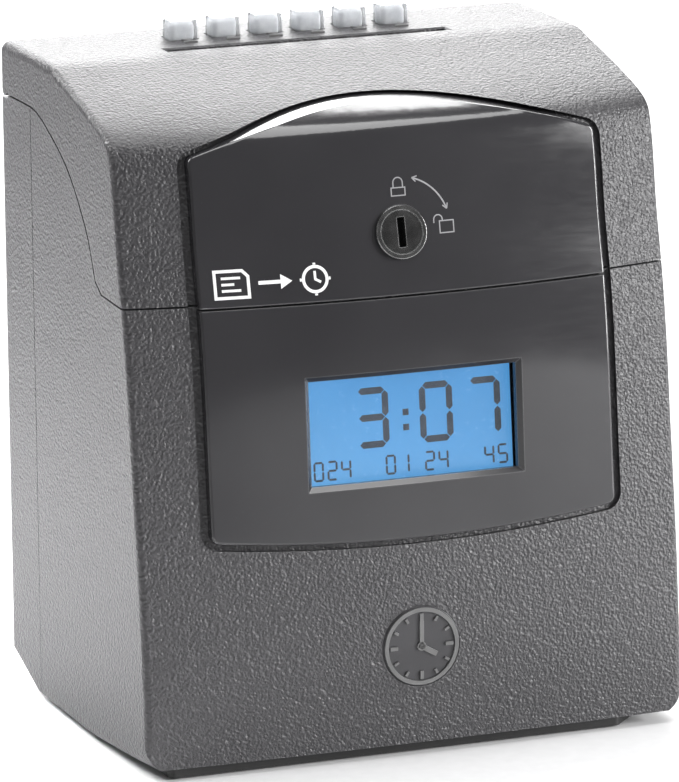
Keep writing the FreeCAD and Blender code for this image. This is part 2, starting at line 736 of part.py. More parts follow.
def cross_screw(axis, seat, tip, centre, head_thick, shank, head):
    """Pan-head screw; seat is the underside of the head, the head lies away from the tip."""
    out = 1 if as_dim(seat).value > as_dim(tip).value else -1
    face = as_dim(seat) + head_thick * out
    head_span = (seat, face) if out > 0 else (face, seat)
    shank_span = (tip, seat) if out > 0 else (seat, tip)
    slots = []
    deep = (face - 0.8, face + 1) if out > 0 else (face - 1, face + 0.8)
    u, v = centre
    for half_u, half_v in ((1.5, 0.35), (0.35, 1.5)):
        spans = {axis: deep}
        names = [name for name in "xyz" if name != axis]
        spans[names[0]] = around(u, half_u)
        spans[names[1]] = around(v, half_v)
        slots.append(block(spans["x"], spans["y"], spans["z"]))
    screw = join(rod(axis, head_span, centre, head), rod(axis, shank_span, centre, shank))
    return cut(screw, join(*slots))


keep(join(*[cross_screw("y", d.rear_face - 5, split_y - 8.5, (side * d.screw_side, z), 2.2,
                        d.screw_shank, d.screw_head) for side in SIDES for z in (24.0, 158.0)]),
     "case_screws")

# ---------------------------------------------------------------- glossy front panels

def front_of(piece):
    """The large outer face of a panel."""
    return max([f for f in piece.Faces if f.Area > 2000], key=lambda f: -f.CenterOfMass.y)


def panel(span, split, hole):
    """One of the two panels, with soft edges at the gap between them and its own opening."""
    piece = both_panels.common(slab(150, (-200, 100), *span))
    level = [e for e in front_of(piece).Edges if abs(e.CenterOfMass.z - split) < 0.01]
    return piece.makeFillet(d.split_edge.value, level).cut(hole.Shape)


both_panels = panel_layer.common(panel_prism(0, 0, 0))
both_panels = both_panels.makeFillet(d.panel_edge.value, front_of(both_panels).Edges)
panel_lock_hole = lean(join(rod("y", (-6, 12), (0, 0), d.lock_thread + 0.1),
                            rod("y", (-6, 0), (0, 0), d.lock_ring + 0.05)), *lock_seat)
view_cut = lean(block(around(0, d.view_half - d.view_bevel), (-12, 12),
                      around(0, (d.view_high - d.view_low) / 2 - d.view_bevel)),
                d.view_lean, lens_y, view_middle)
doc.recompute()
upper_start = (d.panel_split + d.split_gap / 2).value
lower_end = (d.panel_split - d.split_gap / 2).value
upper_panel = panel((upper_start, 300), upper_start, panel_lock_hole)
lower_panel = panel((0, lower_end), lower_end, view_cut)
view_face = front_of(lower_panel)
view_rim = [w for w in view_face.Wires if not w.isSame(view_face.OuterWire)]
lower_panel = lower_panel.makeChamfer(d.view_bevel.value, view_rim[0].Edges)
keep(solid(upper_panel, "upper_front_panel"), "upper_front_panel")
keep(solid(lower_panel, "lower_front_panel"), "lower_front_panel")

# ---------------------------------------------------------------- display

def display_plate(node, span, half_x, half_z, windows=(), holes=()):
    body = plate(node, "XZ", span, rect((-half_x, half_x), (-half_z, half_z)), holes, windows)
    return keep(lean(body, d.view_lean, lens_y, view_middle), node)


glass_y = d.lens_thick + 0.2
display_plate("lcd_window", (0, d.lens_thick), as_dim(35.8), as_dim(18.8))
display_plate("lcd_glass", (glass_y, glass_y + d.glass_thick), as_dim(33.6), as_dim(17.2))
display_plate("lcd_frame", (glass_y, glass_y + d.glass_thick + 1), as_dim(35.2), as_dim(18.6),
              [rect((-33.7, 33.7), (-17.3, 17.3))])
board_y = glass_y + d.glass_thick + 1.2
display_plate("display_board", (board_y, board_y + d.board_thick), as_dim(37.5), as_dim(20.5),
              (), [((u, v), 1.2) for u in (-35.5, 35.5) for v in (-18.5, 18.5)])

# ---------------------------------------------------------------- lock

def lock_piece(obj, node):
    return keep(lean(obj, *lock_seat), node)


ring = rounded(rod("y", (-d.ring_proud, 0), (0, 0), d.lock_ring), as_dim(0.3),
               lambda e: e.CenterOfMass.y < -d.ring_proud.value + 0.01)
lock_piece(cuts(join(ring, rod("y", (0, 16), (0, 0), d.lock_thread)),
                rod("y", (-3, 2.5), (0, 0), d.lock_disc + d.pin_play),
                rod("y", (-3, 18), (0, 0), d.barrel_bore)), "lock_body")
plug = join(rod("y", (-d.disc_proud, 2.4), (0, 0), d.lock_disc),
            rod("y", (2.4, 16.2), (0, 0), d.barrel_bore - d.pin_play),
            block((-2, 2), (16, 19), (-2, 2)))
lock_piece(cut(plug, block((-1.15, 1.15), (-3, 5), (-4.2, 4.2))), "lock_plug")
cam = join(block((-4, 4), (16.4, 17.9), (-22.4, 4)), block((-4, 4), (11.2, 17.9), (-22.4, -20.5)),
           rod("y", (16.4, 17.9), (0, 0), as_dim(5.5)))
lock_piece(cut(cam, block((-2, 2), (10, 20), (-2, 2))), "lock_cam")
lock_piece(cut(rod("y", (19, 20.2), (0, 0), as_dim(3.4)), block((-0.4, 0.4), (19.6, 21), (-3.5, 3.5))),
           "lock_cam_screw")
hexagon = [(9.0 * math.cos(math.radians(60 * n)), 9.0 * math.sin(math.radians(60 * n)))
           for n in range(6)]
lock_piece(plate("nut", "XZ", (5.4, 8.4), hexagon, [((0, 0), d.lock_thread)]), "lock_nut")

# ---------------------------------------------------------------- push buttons and their board

def button(number, x):
    """Cap with a retaining flange and a stem over its switch."""
    body = new_body("button_%d" % number)
    flange = sketch(body, "XY", key_foot)
    outline(flange, rect(around(x, d.key_half + 1), (key_y - 1, key_y + d.key_depth + 1)))
    pad(body, flange, d.key_flange)
    cap = sketch(body, "XY", key_foot)
    outline(cap, rect(around(x, d.key_half), (key_y, key_y + d.key_depth)))
    tall = pad(body, cap, d.top_height + d.key_rise - key_foot)
    top = (d.top_height + d.key_rise).value
    foot = key_foot.value + d.key_flange.value

    def rim(edge):
        return edge.BoundBox.ZMin > foot - 0.01 and edge.CenterOfMass.z > foot + 0.5 \
            and edge.CenterOfMass.z <= top + 0.01

    body_round(body, tall, as_dim(1.0), rim)
    return keep(body, "button_%d" % number)


for number, x in enumerate(KEYS, 1):
    button(number, x)

board_top = key_foot - 5.7
switch_rows = [around(x, 3.0) for x in KEYS]
key_board = plate("key_board_blank", "XY", (board_top - d.board_thick, board_top),
                  rect((-46, 46), (key_y - 3.4, key_y + 10.6)),
                  [((side * 42.0, key_y + 3.6), 1.1) for side in SIDES])
switches = [block(span, around(key_y + 3.6, 3.0), (board_top, board_top + 3.4)) for span in switch_rows]
plungers = [rod("z", (board_top + 3.4, board_top + 4.2), (x, key_y + 3.6), 1.7) for x in KEYS]
keep(join(key_board, *(switches + plungers)), "keypad_board")
keep(join(*[cross_screw("z", board_top - d.board_thick, key_foot - 3.5, (side * 42.0, key_y + 3.6), 1.6,
                        as_dim(0.9), as_dim(2.2)) for side in SIDES]), "keypad_screws")

# ---------------------------------------------------------------- emblem, inlet and base

emblem_y = d.rear_face - d.emblem_depth
emblem = new_body("emblem")
emblem_face = sketch(emblem, "XZ", emblem_y)
circle(emblem_face, (0, d.emblem_height), d.emblem_radius)
emblem_pad = pad(emblem, emblem_face, 1.1)
body_round(emblem, emblem_pad, as_dim(0.3), lambda e: e.CenterOfMass.y < emblem_y.value - 1.0)
keep(emblem, "emblem")

inlet_at = (d.inlet_side, d.inlet_height)
inlet = join(rod("y", (rear_in - 9, d.rear_face), inlet_at, d.inlet_radius),
             rod("y", (d.rear_face, d.rear_face + 0.8), inlet_at, d.inlet_radius + 1.2),
             rod("y", (rear_in - 1.6, rear_in), inlet_at, d.inlet_radius + 2.0))
inlet_core = rod("y", (rear_in - 7, d.rear_face - 2), inlet_at, as_dim(1.0))
keep(join(cut(inlet, rod("y", (rear_in - 8, FAR), inlet_at, d.inlet_hole)),
          join(inlet_core, rod("y", (rear_in - 8.5, rear_in - 6.5), inlet_at, as_dim(1.4)))), "dc_inlet")

base_outline = [(-d.base_half, -d.base_front), (d.base_half - d.base_snip, -d.base_front),
                (d.base_half, d.base_snip - d.base_front), (d.base_half, d.base_rear),
                (-d.base_half, d.base_rear)]
base_low = plate("base_low", "XY", (d.foot_rise, d.base_top), base_outline, corner=as_dim(2.0))
base_pad = block((-d.plug_half, d.plug_half), (-41.6, 30.0), (d.base_top - 1, d.floor_top))
foot_spots = [(side * d.foot_side, y) for side in SIDES for y in (-40.0, 26.0)]
foot_ways = [rod("z", (0, d.foot_rise + 1.2), spot, d.foot_radius + 0.1) for spot in foot_spots]
base_spots = [(side * d.screw_side, y) for side in SIDES for y in (-26.0, 14.0)]
base_ways = [rod("z", (0, 10), spot, d.screw_shank + 0.2) for spot in base_spots]
base_sinks = [rod("z", (0, d.foot_rise + 1.7), spot, d.screw_head + 0.2) for spot in base_spots]
chassis_bores = [rod("z", (d.floor_top - 2.8, 20), (side * (d.chassis_half - 6), y), as_dim(1.5))
                 for side in SIDES for y in (-14.0, 10.0)]
keep(cuts(join(base_low, base_pad), join(*foot_ways), join(*base_ways), join(*base_sinks),
          join(*chassis_bores)), "base_plate")
keep(join(*[rod("z", (0, d.foot_rise + 1.2), spot, d.foot_radius) for spot in foot_spots]), "rubber_feet")
keep(join(*[cross_screw("z", d.foot_rise + 1.7, d.floor_top + 5.5, spot, 1.5, d.screw_shank, d.screw_head)
            for spot in base_spots]), "base_screws")

# ---------------------------------------------------------------- chassis

feed_y = slot_y + d.feed_radius
pinch_y = slot_y - d.pinch_radius - 0.3
RAILS = (2.0, -14.0)
shelf_low = as_dim(84.0)
motor_radius = as_dim(14.0)
FIRST_LINK, SECOND_LINK = math.radians(20), math.radians(50)
PINION, IDLER, DRIVEN = 14, 26, 40
reach = d.tooth_module * ((IDLER + DRIVEN) / 2.0) + d.gear_play
idler_at = (feed_y - reach * math.cos(SECOND_LINK), d.feed_height - reach * math.sin(SECOND_LINK))
short = d.tooth_module * ((PINION + IDLER) / 2.0) + d.gear_play
pinion_at = (idler_at[0] - short * math.cos(FIRST_LINK), idler_at[1] - short * math.sin(FIRST_LINK))
chassis_outline = [(-34, d.floor_top), (30, d.floor_top), (44, 22), (44, d.chassis_top),
                   (14, d.chassis_top), (14, 128), (-34, 128)]


def chassis(node, side, extra_holes, studs):
    holes = [((y, d.rail_height), d.rail_radius) for y in RAILS]
    holes += [((feed_y, d.feed_height), d.shaft_radius + d.pin_play),
              ((pinch_y, d.feed_height), d.shaft_radius + d.pin_play)] + extra_holes
    inner = d.chassis_half
    sheet_plate = plate(node + "_sheet", "YZ", mirrored(side, inner, inner + d.sheet_metal),
                        chassis_outline, holes)
    foot = block(mirrored(side, inner - 12, inner), (-22, 18), (d.floor_top, d.floor_top + d.sheet_metal))
    seat = block(mirrored(side, inner - 10, inner), (-10, 12), (128 - d.sheet_metal, 128))
    holes_down = [rod("z", (0, 20), (side * (inner - 6), y), as_dim(1.6)) for y in (-14.0, 10.0)]
    return keep(cut(join(sheet_plate, foot, seat, *studs), join(*holes_down)), node)


idler_stud = [rod("x", (d.chassis_half, d.chassis_half + 11), idler_at, d.shaft_radius),
              rod("x", (d.chassis_half + 9.2, d.chassis_half + 10.4), idler_at, d.shaft_radius + 1.4)]
chassis("chassis_left", -1, [], [])
chassis("chassis_right", 1, [(pinion_at, d.shaft_radius + 0.6)], idler_stud)
keep(join(*[cross_screw("z", d.floor_top + d.sheet_metal, d.floor_top - 2.5, (side * (d.chassis_half - 6), y),
                        1.8, as_dim(1.5), d.screw_head) for side in SIDES for y in (-14.0, 10.0)]),
     "chassis_screws")

# ---------------------------------------------------------------- card path

chute_wide = (-d.chute_half, d.chute_half)
ears = d.chassis_half - 0.2
front_span = (slot_y - d.card_gap - d.chute_sheet, slot_y - d.card_gap)
rear_span = (slot_y + d.card_gap, slot_y + d.card_gap + d.chute_sheet)
chute_bottom = as_dim(50.0)
chute_outline = [(-d.chute_half, chute_bottom), (d.chute_half, chute_bottom), (d.chute_half, 132),
                 (ears, 132), (ears, 152), (d.chute_half, 152), (d.chute_half, d.chute_top),
                 (-d.chute_half, d.chute_top), (-d.chute_half, 152), (-ears, 152), (-ears, 132),
                 (-d.chute_half, 132)]
ROLLERS = (-30.0, 0.0, 30.0)
pinch_windows = [rect(around(x, 7.5), around(d.feed_height, 6.8)) for x in ROLLERS]
feed_windows = [rect(around(x, 7.5), around(d.feed_height, 7.2)) for x in ROLLERS]
print_window = rect((-40, 40), around(d.print_height, 9.0))
platen_window = rect((-43, 43), around(d.print_height, 6.6))
keep(plate("card_chute_front", "XZ", front_span, chute_outline, (), pinch_windows + [print_window]),
     "card_chute_front")
chute_rear = plate("chute_rear_sheet", "XZ", rear_span, chute_outline, (),
                   feed_windows + [platen_window])
card_stop = block(chute_wide, (slot_y - d.card_gap + 0.2, slot_y + d.card_gap + 0.5),
                  (chute_bottom, chute_bottom + 1.2))
keep(join(chute_rear, card_stop), "card_chute_rear")
platen_face = slot_y + 0.4
keep(plate("platen_pad", "XZ", (platen_face, platen_face + 5), rect((-42, 42), around(d.print_height, 6)),
           corner=as_dim(0.8)), "platen_pad")
keep(join(block((-d.chassis_half + 0.1, d.chassis_half - 0.1), (platen_face + 5, platen_face + 9),
                around(d.print_height, 7))), "platen_bar")

# ---------------------------------------------------------------- card feed

shaft_line = (feed_y, d.feed_height)
pinch_line = (pinch_y, d.feed_height)
gear_span = (d.chassis_half + 3, d.chassis_half + 9)
keep(join(rod("x", (-d.chassis_half - 4, d.chassis_half + 11), shaft_line, d.shaft_radius),
          *[rod("x", (side * 54.0 - 1.0, side * 54.0 + 1.0), shaft_line, d.shaft_radius + 1.4)
            for side in SIDES]), "feed_shaft")
feed_rolls = [rounded(rod("x", around(x, 6.0), shaft_line, d.feed_radius), as_dim(0.6),
                      lambda e: isinstance(e.Curve, Part.Circle)) for x in ROLLERS]
keep(cut(join(*feed_rolls), rod("x", (-FAR, FAR), shaft_line, d.shaft_radius)), "feed_rollers")
pinch_rolls = [rod("x", around(x, 6.0), pinch_line, d.pinch_radius) for x in ROLLERS]
keep(join(rod("x", (-d.chassis_half - 2.4, d.chassis_half + 2.4), pinch_line, d.shaft_radius),
          *[rod("x", (side * 54.0 - 1.0, side * 54.0 + 1.0), pinch_line, d.shaft_radius + 1.4)
            for side in SIDES]), "pinch_shaft")
keep(cut(join(*pinch_rolls), rod("x", (-FAR, FAR), pinch_line, d.shaft_radius)), "pinch_rollers")

first = math.degrees(FIRST_LINK)
second = math.degrees(SECOND_LINK)
idler_phase = first + 180.0 + 180.0 / IDLER
drift = (second - idler_phase) % (360.0 / IDLER)
driven_phase = second + 180.0 + drift * IDLER / DRIVEN + 180.0 / DRIVEN
keep(gear("feed_gear", gear_span, shaft_line, DRIVEN, d.shaft_radius, driven_phase), "feed_gear")
keep(gear("idler_gear", gear_span, idler_at, IDLER, d.shaft_radius + d.pin_play, idler_phase),
     "idler_gear")
keep(gear("feed_pinion", gear_span, pinion_at, PINION, as_dim(1.5), first), "feed_pinion")
motor_x = d.chassis_half - 24
keep(cut(join(rounded(rod("x", (motor_x, d.chassis_half - 0.1), pinion_at, motor_radius), as_dim(1.0),
                      lambda e: isinstance(e.Curve, Part.Circle)),
              rod("x", (d.chassis_half - 0.5, d.chassis_half + 1.4), pinion_at, d.shaft_radius + 0.6)),
         rod("x", (motor_x + 2, FAR), pinion_at, as_dim(1.55))), "feed_motor")
keep(rod("x", (motor_x + 2.2, d.chassis_half + 10), pinion_at, as_dim(1.5)), "feed_motor_shaft")

# ---------------------------------------------------------------- print carriage

keep(join(*[rod("x", (-d.chassis_half - 3, d.chassis_half + 3), (y, d.rail_height), d.rail_radius)
            for y in RAILS]), "guide_rails")
belt_y = as_dim(-28.0)
belt_back = belt_y + d.pulley_radius
belt_span = (shelf_low + 4.0, shelf_low + 9.0)
slide = block((-10, 10), (-19.5, 7.5), (d.rail_height - 5, d.rail_height + 5.5))
clamp = block((-4, 4), (belt_back - 2.6, belt_back + 3.5), (shelf_low + 3, d.rail_height - 2))
clamp_slot = block((-5, 5), around(belt_back, 0.75), (shelf_low, shelf_low + 9.4))
rail_ways = [rod("x", (-20, 20), (y, d.rail_height), d.rail_radius + d.pin_play) for y in RAILS]
keep(cuts(join(slide, clamp), clamp_slot, join(*rail_ways)), "carriage")
head_low = d.rail_height + 5.5
head_body = plate("head_body", "XY", (head_low, head_low + 17),
                  [(-10, -10), (10, -10), (10, slot_y - 18), (5, slot_y - 11), (5, slot_y - 5),
                   (-5, slot_y - 5), (-5, slot_y - 11), (-10, slot_y - 18)], corner=as_dim(1.0))
fins = [block((-12, 12), (-8.5 + 3.4 * n, -7.3 + 3.4 * n), (head_low + 3, head_low + 16)) for n in range(5)]
keep(join(head_body, *fins), "print_head")
shelf_sheet = plate("shelf_sheet", "XY", (shelf_low, shelf_low + d.sheet_metal),
                    rect((-d.chassis_half + 0.1, d.chassis_half - 0.1), (-38, -9)),
                    [((-d.pulley_at, belt_y), as_dim(3.2))])
idle_line = (d.pulley_at, belt_y)
idler_post = [rod("z", (shelf_low, belt_span[1] + 2.6), idle_line, d.shaft_radius),
              rod("z", (belt_span[1] + 1.3, belt_span[1] + 2.6), idle_line, d.shaft_radius + 1.4),
              rod("z", (shelf_low + 0.5, shelf_low + 2.8), idle_line, d.shaft_radius + 1.0)]
keep(join(shelf_sheet, *idler_post), "motor_shelf")
keep(cut(join(rounded(rod("z", (shelf_low - 24, shelf_low), (-d.pulley_at, belt_y), motor_radius),
                      as_dim(1.0), lambda e: isinstance(e.Curve, Part.Circle)),
              rod("z", (shelf_low - 1, shelf_low + 2.4), (-d.pulley_at, belt_y), as_dim(3.2))),
         rod("z", (shelf_low - 20, FAR), (-d.pulley_at, belt_y), as_dim(1.55))), "carriage_motor")


def pulley(node, side, bore):
    centre = (d.pulley_at * side, belt_y)
    low, high = belt_span
    drum = join(rod("z", (low - 1, low - 0.2), centre, d.pulley_radius + 1.4),
                rod("z", (low - 0.2, high + 0.2), centre, d.pulley_radius - 0.65),
                rod("z", (high + 0.2, high + 1), centre, d.pulley_radius + 1.4))
    return cut(drum, rod("z", (0, FAR), centre, bore))


motor_line = (-d.pulley_at, belt_y)
keep(join(pulley("drive_pulley", -1, as_dim(1.4)),
          rod("z", (shelf_low - 19, belt_span[1] + 2), motor_line, as_dim(1.5))), "drive_pulley")
keep(pulley("idler_pulley", 1, d.shaft_radius + d.pin_play), "idler_pulley")

def belt_loop(grow):
    """Stadium-shaped column round both belt pulleys."""
    size = d.pulley_radius + grow
    return join(rod("z", belt_span, motor_line, size), rod("z", belt_span, idle_line, size),
                block((-d.pulley_at, d.pulley_at), around(belt_y, size), belt_span))


keep(cut(belt_loop(0.5), belt_loop(-0.5)), "carriage_belt")

# ---------------------------------------------------------------- ribbon

case_low = as_dim(128.2)
case_high = as_dim(140.0)
ribbon_case = plate("ribbon_case", "XY", (case_low, case_high), rect((-50, 50), (-9.0, 13.0)),
                    corner=as_dim(4.0))
arms = [block(mirrored(side, 42.0, 46.0), (8.0, slot_y - 5), (case_low - 16, case_low + 6))
        for side in SIDES]
knob_at = (-30.0, 2.0)
arm_slots = [block(mirrored(side, 43.6, 44.4), (slot_y - 8, slot_y), (case_low - 15, case_low - 4))
             for side in SIDES]
keep(cuts(join(ribbon_case, *arms), rod("z", (case_low + 2, FAR + 60), knob_at, as_dim(3.1)),
          join(*arm_slots)), "ribbon_cartridge")
keep(block((-44.3, 44.3), (slot_y - 5, slot_y - 4.7), around(d.print_height, 5)), "ink_ribbon")
knob = join(rod("z", (case_low + 3, case_high + 0.3), knob_at, as_dim(3.05)),
            rod("z", (case_high + 0.3, case_high + 5), knob_at, as_dim(6.5)))
flutes = []
for n in range(12):
    turn = math.radians(30 * n)
    spot = (knob_at[0] + 7.0 * math.cos(turn), knob_at[1] + 7.0 * math.sin(turn))
    flutes.append(rod("z", (case_high + 1, case_high + 6), spot, as_dim(0.9)))
keep(cut(knob, join(*flutes)), "ribbon_knob")

# ---------------------------------------------------------------- electronics

keep(plate("main_board", "XZ", (main_y, main_y + d.board_thick), rect((-50, 34), (20, 84)),
           [((x, z), as_dim(1.6)) for x in (-46.0, 30.0) for z in (24.0, 80.0)]), "main_board")
CHIPS = [(-34.0, 66.0, 9.0, 5.0), (-8.0, 60.0, 6.0, 6.0), (14.0, 68.0, 5.0, 3.0), (16.0, 38.0, 7.0, 4.0)]
chips = [block(around(x, hx), (main_y - 2.2, main_y), around(z, hz)) for x, z, hx, hz in CHIPS]
caps = [rod("y", (main_y - 5.5, main_y), (x, 32.0), as_dim(3.2)) for x in (-30.0, -20.0, -10.0)]
keep(join(*(chips + caps)), "board_parts")
keep(join(block(around(-36.0, 9.0), (main_y - 4.2, main_y), (40.0, 54.0)),
          rod("y", (main_y - 5.2, main_y - 4.2), (-36.0, 47.0), as_dim(6.5))), "clock_battery")
keep(cut(rod("y", (main_y - 5.0, main_y), (24.0, 54.0), as_dim(5.5)),
         rod("y", (main_y - 6.0, main_y - 3.0), (24.0, 54.0), as_dim(1.0))), "buzzer")

# ---------------------------------------------------------------- check and write

doc.recompute()
os.makedirs("parts", exist_ok=True)
faulty = [obj.Label for obj in doc.Objects if "Invalid" in obj.State or "Error" in obj.State]
faulty += [obj.Label for obj in kept if obj.Shape.isNull() or not obj.Shape.isValid()]
if faulty:
    raise RuntimeError("faulty objects: %s" % faulty)
for obj in kept:
    obj.Shape.exportStep("parts/%s.step" % obj.Label)
print(len(kept), "sub-parts written")
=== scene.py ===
"""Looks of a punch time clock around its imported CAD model.

Lengths are metres in the clock's own frame: +Z up, the front faces -Y, +X is to the right seen
from the front, and the origin is in the middle of the footprint on the table.
"""

import json
import math

import bmesh
import bpy
from mathutils import Matrix, Vector
from mathutils.bvhtree import BVHTree


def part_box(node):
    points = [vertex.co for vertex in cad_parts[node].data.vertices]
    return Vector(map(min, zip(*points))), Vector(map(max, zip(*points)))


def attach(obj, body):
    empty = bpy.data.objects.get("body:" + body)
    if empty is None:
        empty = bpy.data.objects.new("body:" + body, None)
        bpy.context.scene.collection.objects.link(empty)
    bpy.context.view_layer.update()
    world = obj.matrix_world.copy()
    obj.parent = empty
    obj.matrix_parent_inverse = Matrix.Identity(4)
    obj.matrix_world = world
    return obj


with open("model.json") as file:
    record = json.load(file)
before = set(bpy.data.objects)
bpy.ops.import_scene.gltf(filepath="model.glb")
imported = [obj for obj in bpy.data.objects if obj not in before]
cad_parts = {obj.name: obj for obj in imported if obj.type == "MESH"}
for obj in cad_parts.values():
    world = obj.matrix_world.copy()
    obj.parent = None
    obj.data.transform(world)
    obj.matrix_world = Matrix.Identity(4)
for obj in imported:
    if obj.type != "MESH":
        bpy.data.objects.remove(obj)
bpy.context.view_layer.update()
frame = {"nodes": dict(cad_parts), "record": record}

MM = 0.001
NODES = frame["nodes"]
JOINTS = {joint["name"]: joint for joint in frame["record"]["behaviour"]["joints"]}
LOCK_CENTRE = Vector(JOINTS["lock_turn"]["pos_m"])
KEYS = range(1, 7)
scene = bpy.context.scene


# ---------------------------------------------------------------- node trees

# Most values of a noise texture lie between these.
NOISE_LOW, NOISE_HIGH = 0.3, 0.7
# Cosines of the angle between the true and the softened normal: a flat face, a sharp edge.
FLAT_TURN, SHARP_TURN = 0.995, 0.86


class Tree:
    """A short way to write one material's node tree."""

    def __init__(self, name):
        self.material = bpy.data.materials.new(name)
        self.material.use_nodes = True
        self.nodes = self.material.node_tree.nodes
        self.links = self.material.node_tree.links
        self.nodes.clear()
        self.output = self.add("ShaderNodeOutputMaterial")
        self.shader = self.add("ShaderNodeBsdfPrincipled")
        self.links.new(self.shader.outputs[0], self.output.inputs[0])
        self.place = self.add("ShaderNodeTexCoord").outputs["Object"]

    def add(self, kind, **settings):
        node = self.nodes.new(kind)
        for key, value in settings.items():
            setattr(node, key, value)
        return node

    def feed(self, socket, value):
        if isinstance(value, bpy.types.NodeSocket):
            self.links.new(value, socket)
        else:
            socket.default_value = value

    def set(self, **values):
        """Sockets of the main shader, by name with _ for a space."""
        for key, value in values.items():
            self.feed(self.shader.inputs[key.replace("_", " ")], value)

    def noise(self, scale, detail=3.0, rough=0.5, stretch=None, distortion=0.0):
        node = self.add("ShaderNodeTexNoise")
        self.feed(node.inputs["Vector"], self.stretched(stretch))
        node.inputs["Scale"].default_value = scale
        node.inputs["Detail"].default_value = detail
        node.inputs["Roughness"].default_value = rough
        node.inputs["Distortion"].default_value = distortion
        return node.outputs["Fac"]

    def cells(self, scale, feature="SMOOTH_F1"):
        node = self.add("ShaderNodeTexVoronoi", feature=feature)
        self.feed(node.inputs["Vector"], self.place)
        node.inputs["Scale"].default_value = scale
        node.inputs["Randomness"].default_value = 1.0
        return node.outputs["Distance"]

    def stretched(self, stretch):
        """The place in space, scaled along each axis; a small scale draws a texture out."""
        if stretch is None:
            return self.place
        node = self.add("ShaderNodeMapping")
        self.feed(node.inputs["Vector"], self.place)
        node.inputs["Scale"].default_value = stretch
        return node.outputs[0]

    def math(self, operation, first, second=0.5):
        node = self.add("ShaderNodeMath", operation=operation)
        self.feed(node.inputs[0], first)
        self.feed(node.inputs[1], second)
        return node.outputs[0]

    def plus(self, first, second):
        return self.math("ADD", first, second)

    def times(self, first, second):
        return self.math("MULTIPLY", first, second)

    def span(self, value, low=NOISE_LOW, high=NOISE_HIGH, to=(0.0, 1.0)):
        """value from low..high to the two ends of to, held at both ends."""
        node = self.add("ShaderNodeMapRange")
        self.feed(node.inputs["Value"], value)
        for socket, number in zip(("From Min", "From Max", "To Min", "To Max"), (low, high, *to)):
            node.inputs[socket].default_value = number
        return node.outputs[0]

    def blend(self, share, first, second):
        """Colour from first to second as share goes from 0 to 1."""
        node = self.add("ShaderNodeMix", data_type="RGBA")
        colours = [s for s in node.inputs if s.type == "RGBA"]
        self.feed(node.inputs[0], share)
        self.feed(colours[0], first)
        self.feed(colours[1], second)
        return [s for s in node.outputs if s.type == "RGBA"][0]

    def axis(self, name):
        node = self.add("ShaderNodeSeparateXYZ")
        self.links.new(self.place, node.inputs[0])
        return node.outputs[name]

    def edges(self, radius):
        """1 on a sharp edge and 0 on a flat face: where the surface turns within the radius."""
        soft = self.add("ShaderNodeBevel", samples=4)
        soft.inputs["Radius"].default_value = radius
        true = self.add("ShaderNodeNewGeometry")
        turn = self.add("ShaderNodeVectorMath", operation="DOT_PRODUCT")
        self.links.new(soft.outputs[0], turn.inputs[0])
        self.links.new(true.outputs["Normal"], turn.inputs[1])
        return self.span(turn.outputs["Value"], FLAT_TURN, SHARP_TURN)

    def bump(self, height, depth, strength, under=None):
        """A bump of the height texture, laid over the bump under it."""
        node = self.add("ShaderNodeBump")
        self.feed(node.inputs["Height"], height)
        node.inputs["Distance"].default_value = depth
        node.inputs["Strength"].default_value = strength
        if under is not None:
            self.links.new(under, node.inputs["Normal"])
        return node.outputs[0]


def grey(level):
    return (level, level, level, 1.0)


def scaled(tone, factor, base=0.0):
    """The tone made darker or lighter, held below white."""
    return tuple(min(1.0, base + c * factor) for c in tone[:3]) + (1.0,)


# ---------------------------------------------------------------- materials

def housing_plastic():
    """Charcoal ABS with a leather-like spark-eroded grain, rubbed lighter along its edges."""
    t = Tree("housing_plastic")
    dark, light = (0.030, 0.029, 0.032, 1), (0.040, 0.0388, 0.042, 1)
    raised, rubbed = (0.054, 0.0525, 0.056, 1), (0.12, 0.12, 0.125, 1)
    pit_share, fold_share, broad_share, rub_share = 0.55, 0.75, 0.2, 0.45
    pits = t.cells(scale=1250.0)
    folds = t.noise(scale=950.0, rough=0.6, distortion=0.4)
    broad = t.noise(scale=14.0)
    grain = t.plus(t.times(pits, pit_share), t.times(folds, fold_share))
    worn = t.times(t.edges(radius=0.7 * MM),
                   t.span(t.noise(scale=160.0, detail=4.0), low=0.35, to=(0.25, 1.0)))
    mottle = t.blend(t.span(broad), dark, light)
    speck = t.blend(t.span(grain, low=0.45, high=0.9), mottle, raised)
    t.set(Base_Color=t.blend(t.times(worn, rub_share), speck, rubbed),
          Roughness=t.span(t.plus(grain, t.times(broad, broad_share)),
                           low=0.4, high=1.2, to=(0.28, 0.46)),
          Normal=t.bump(grain, depth=0.55 * MM, strength=1.0),
          IOR=1.54)
    return t.material


def panel_gloss():
    """Polished dark grey plastic with a faint ripple, fine dust and thin rub marks, and a painted
    highlight along its edges.
    """
    t = Tree("panel_gloss")
    dark, light = (0.025, 0.0244, 0.027, 1), (0.030, 0.0293, 0.032, 1)
    # dust_tone is the colour of real dust; edge_tone and edge_share paint a highlight along the panel
    # edges and the rim of the display opening.
    dust_tone, edge_tone = (0.25, 0.25, 0.25, 1), (0.22, 0.22, 0.225, 1)
    edge_share, dust_share = 0.6, 0.10
    ripple = t.noise(scale=28.0, detail=2.0)
    rubs = t.noise(scale=700.0, detail=2.0, rough=0.6, stretch=(0.12, 1.0, 1.0))
    dust = t.span(t.noise(scale=2600.0, detail=2.0, rough=0.7), low=0.66, high=0.8)
    tone = t.blend(t.span(ripple), dark, light)
    # Painted highlight: a lighter grey laid along every edge, as if the rims caught the light.
    edge = t.times(t.edges(radius=0.5 * MM), edge_share)
    dusty = t.blend(t.times(dust, dust_share), tone, dust_tone)
    t.set(Base_Color=t.blend(edge, dusty, edge_tone),
          Roughness=t.span(rubs, high=0.75, to=(0.13, 0.18)),
          Normal=t.bump(ripple, depth=0.05 * MM, strength=0.35,
                        under=t.bump(dust, depth=0.004 * MM, strength=0.3)),
          IOR=1.5,
          Coat_Weight=0.35,
          Coat_Roughness=0.06)
    return t.material


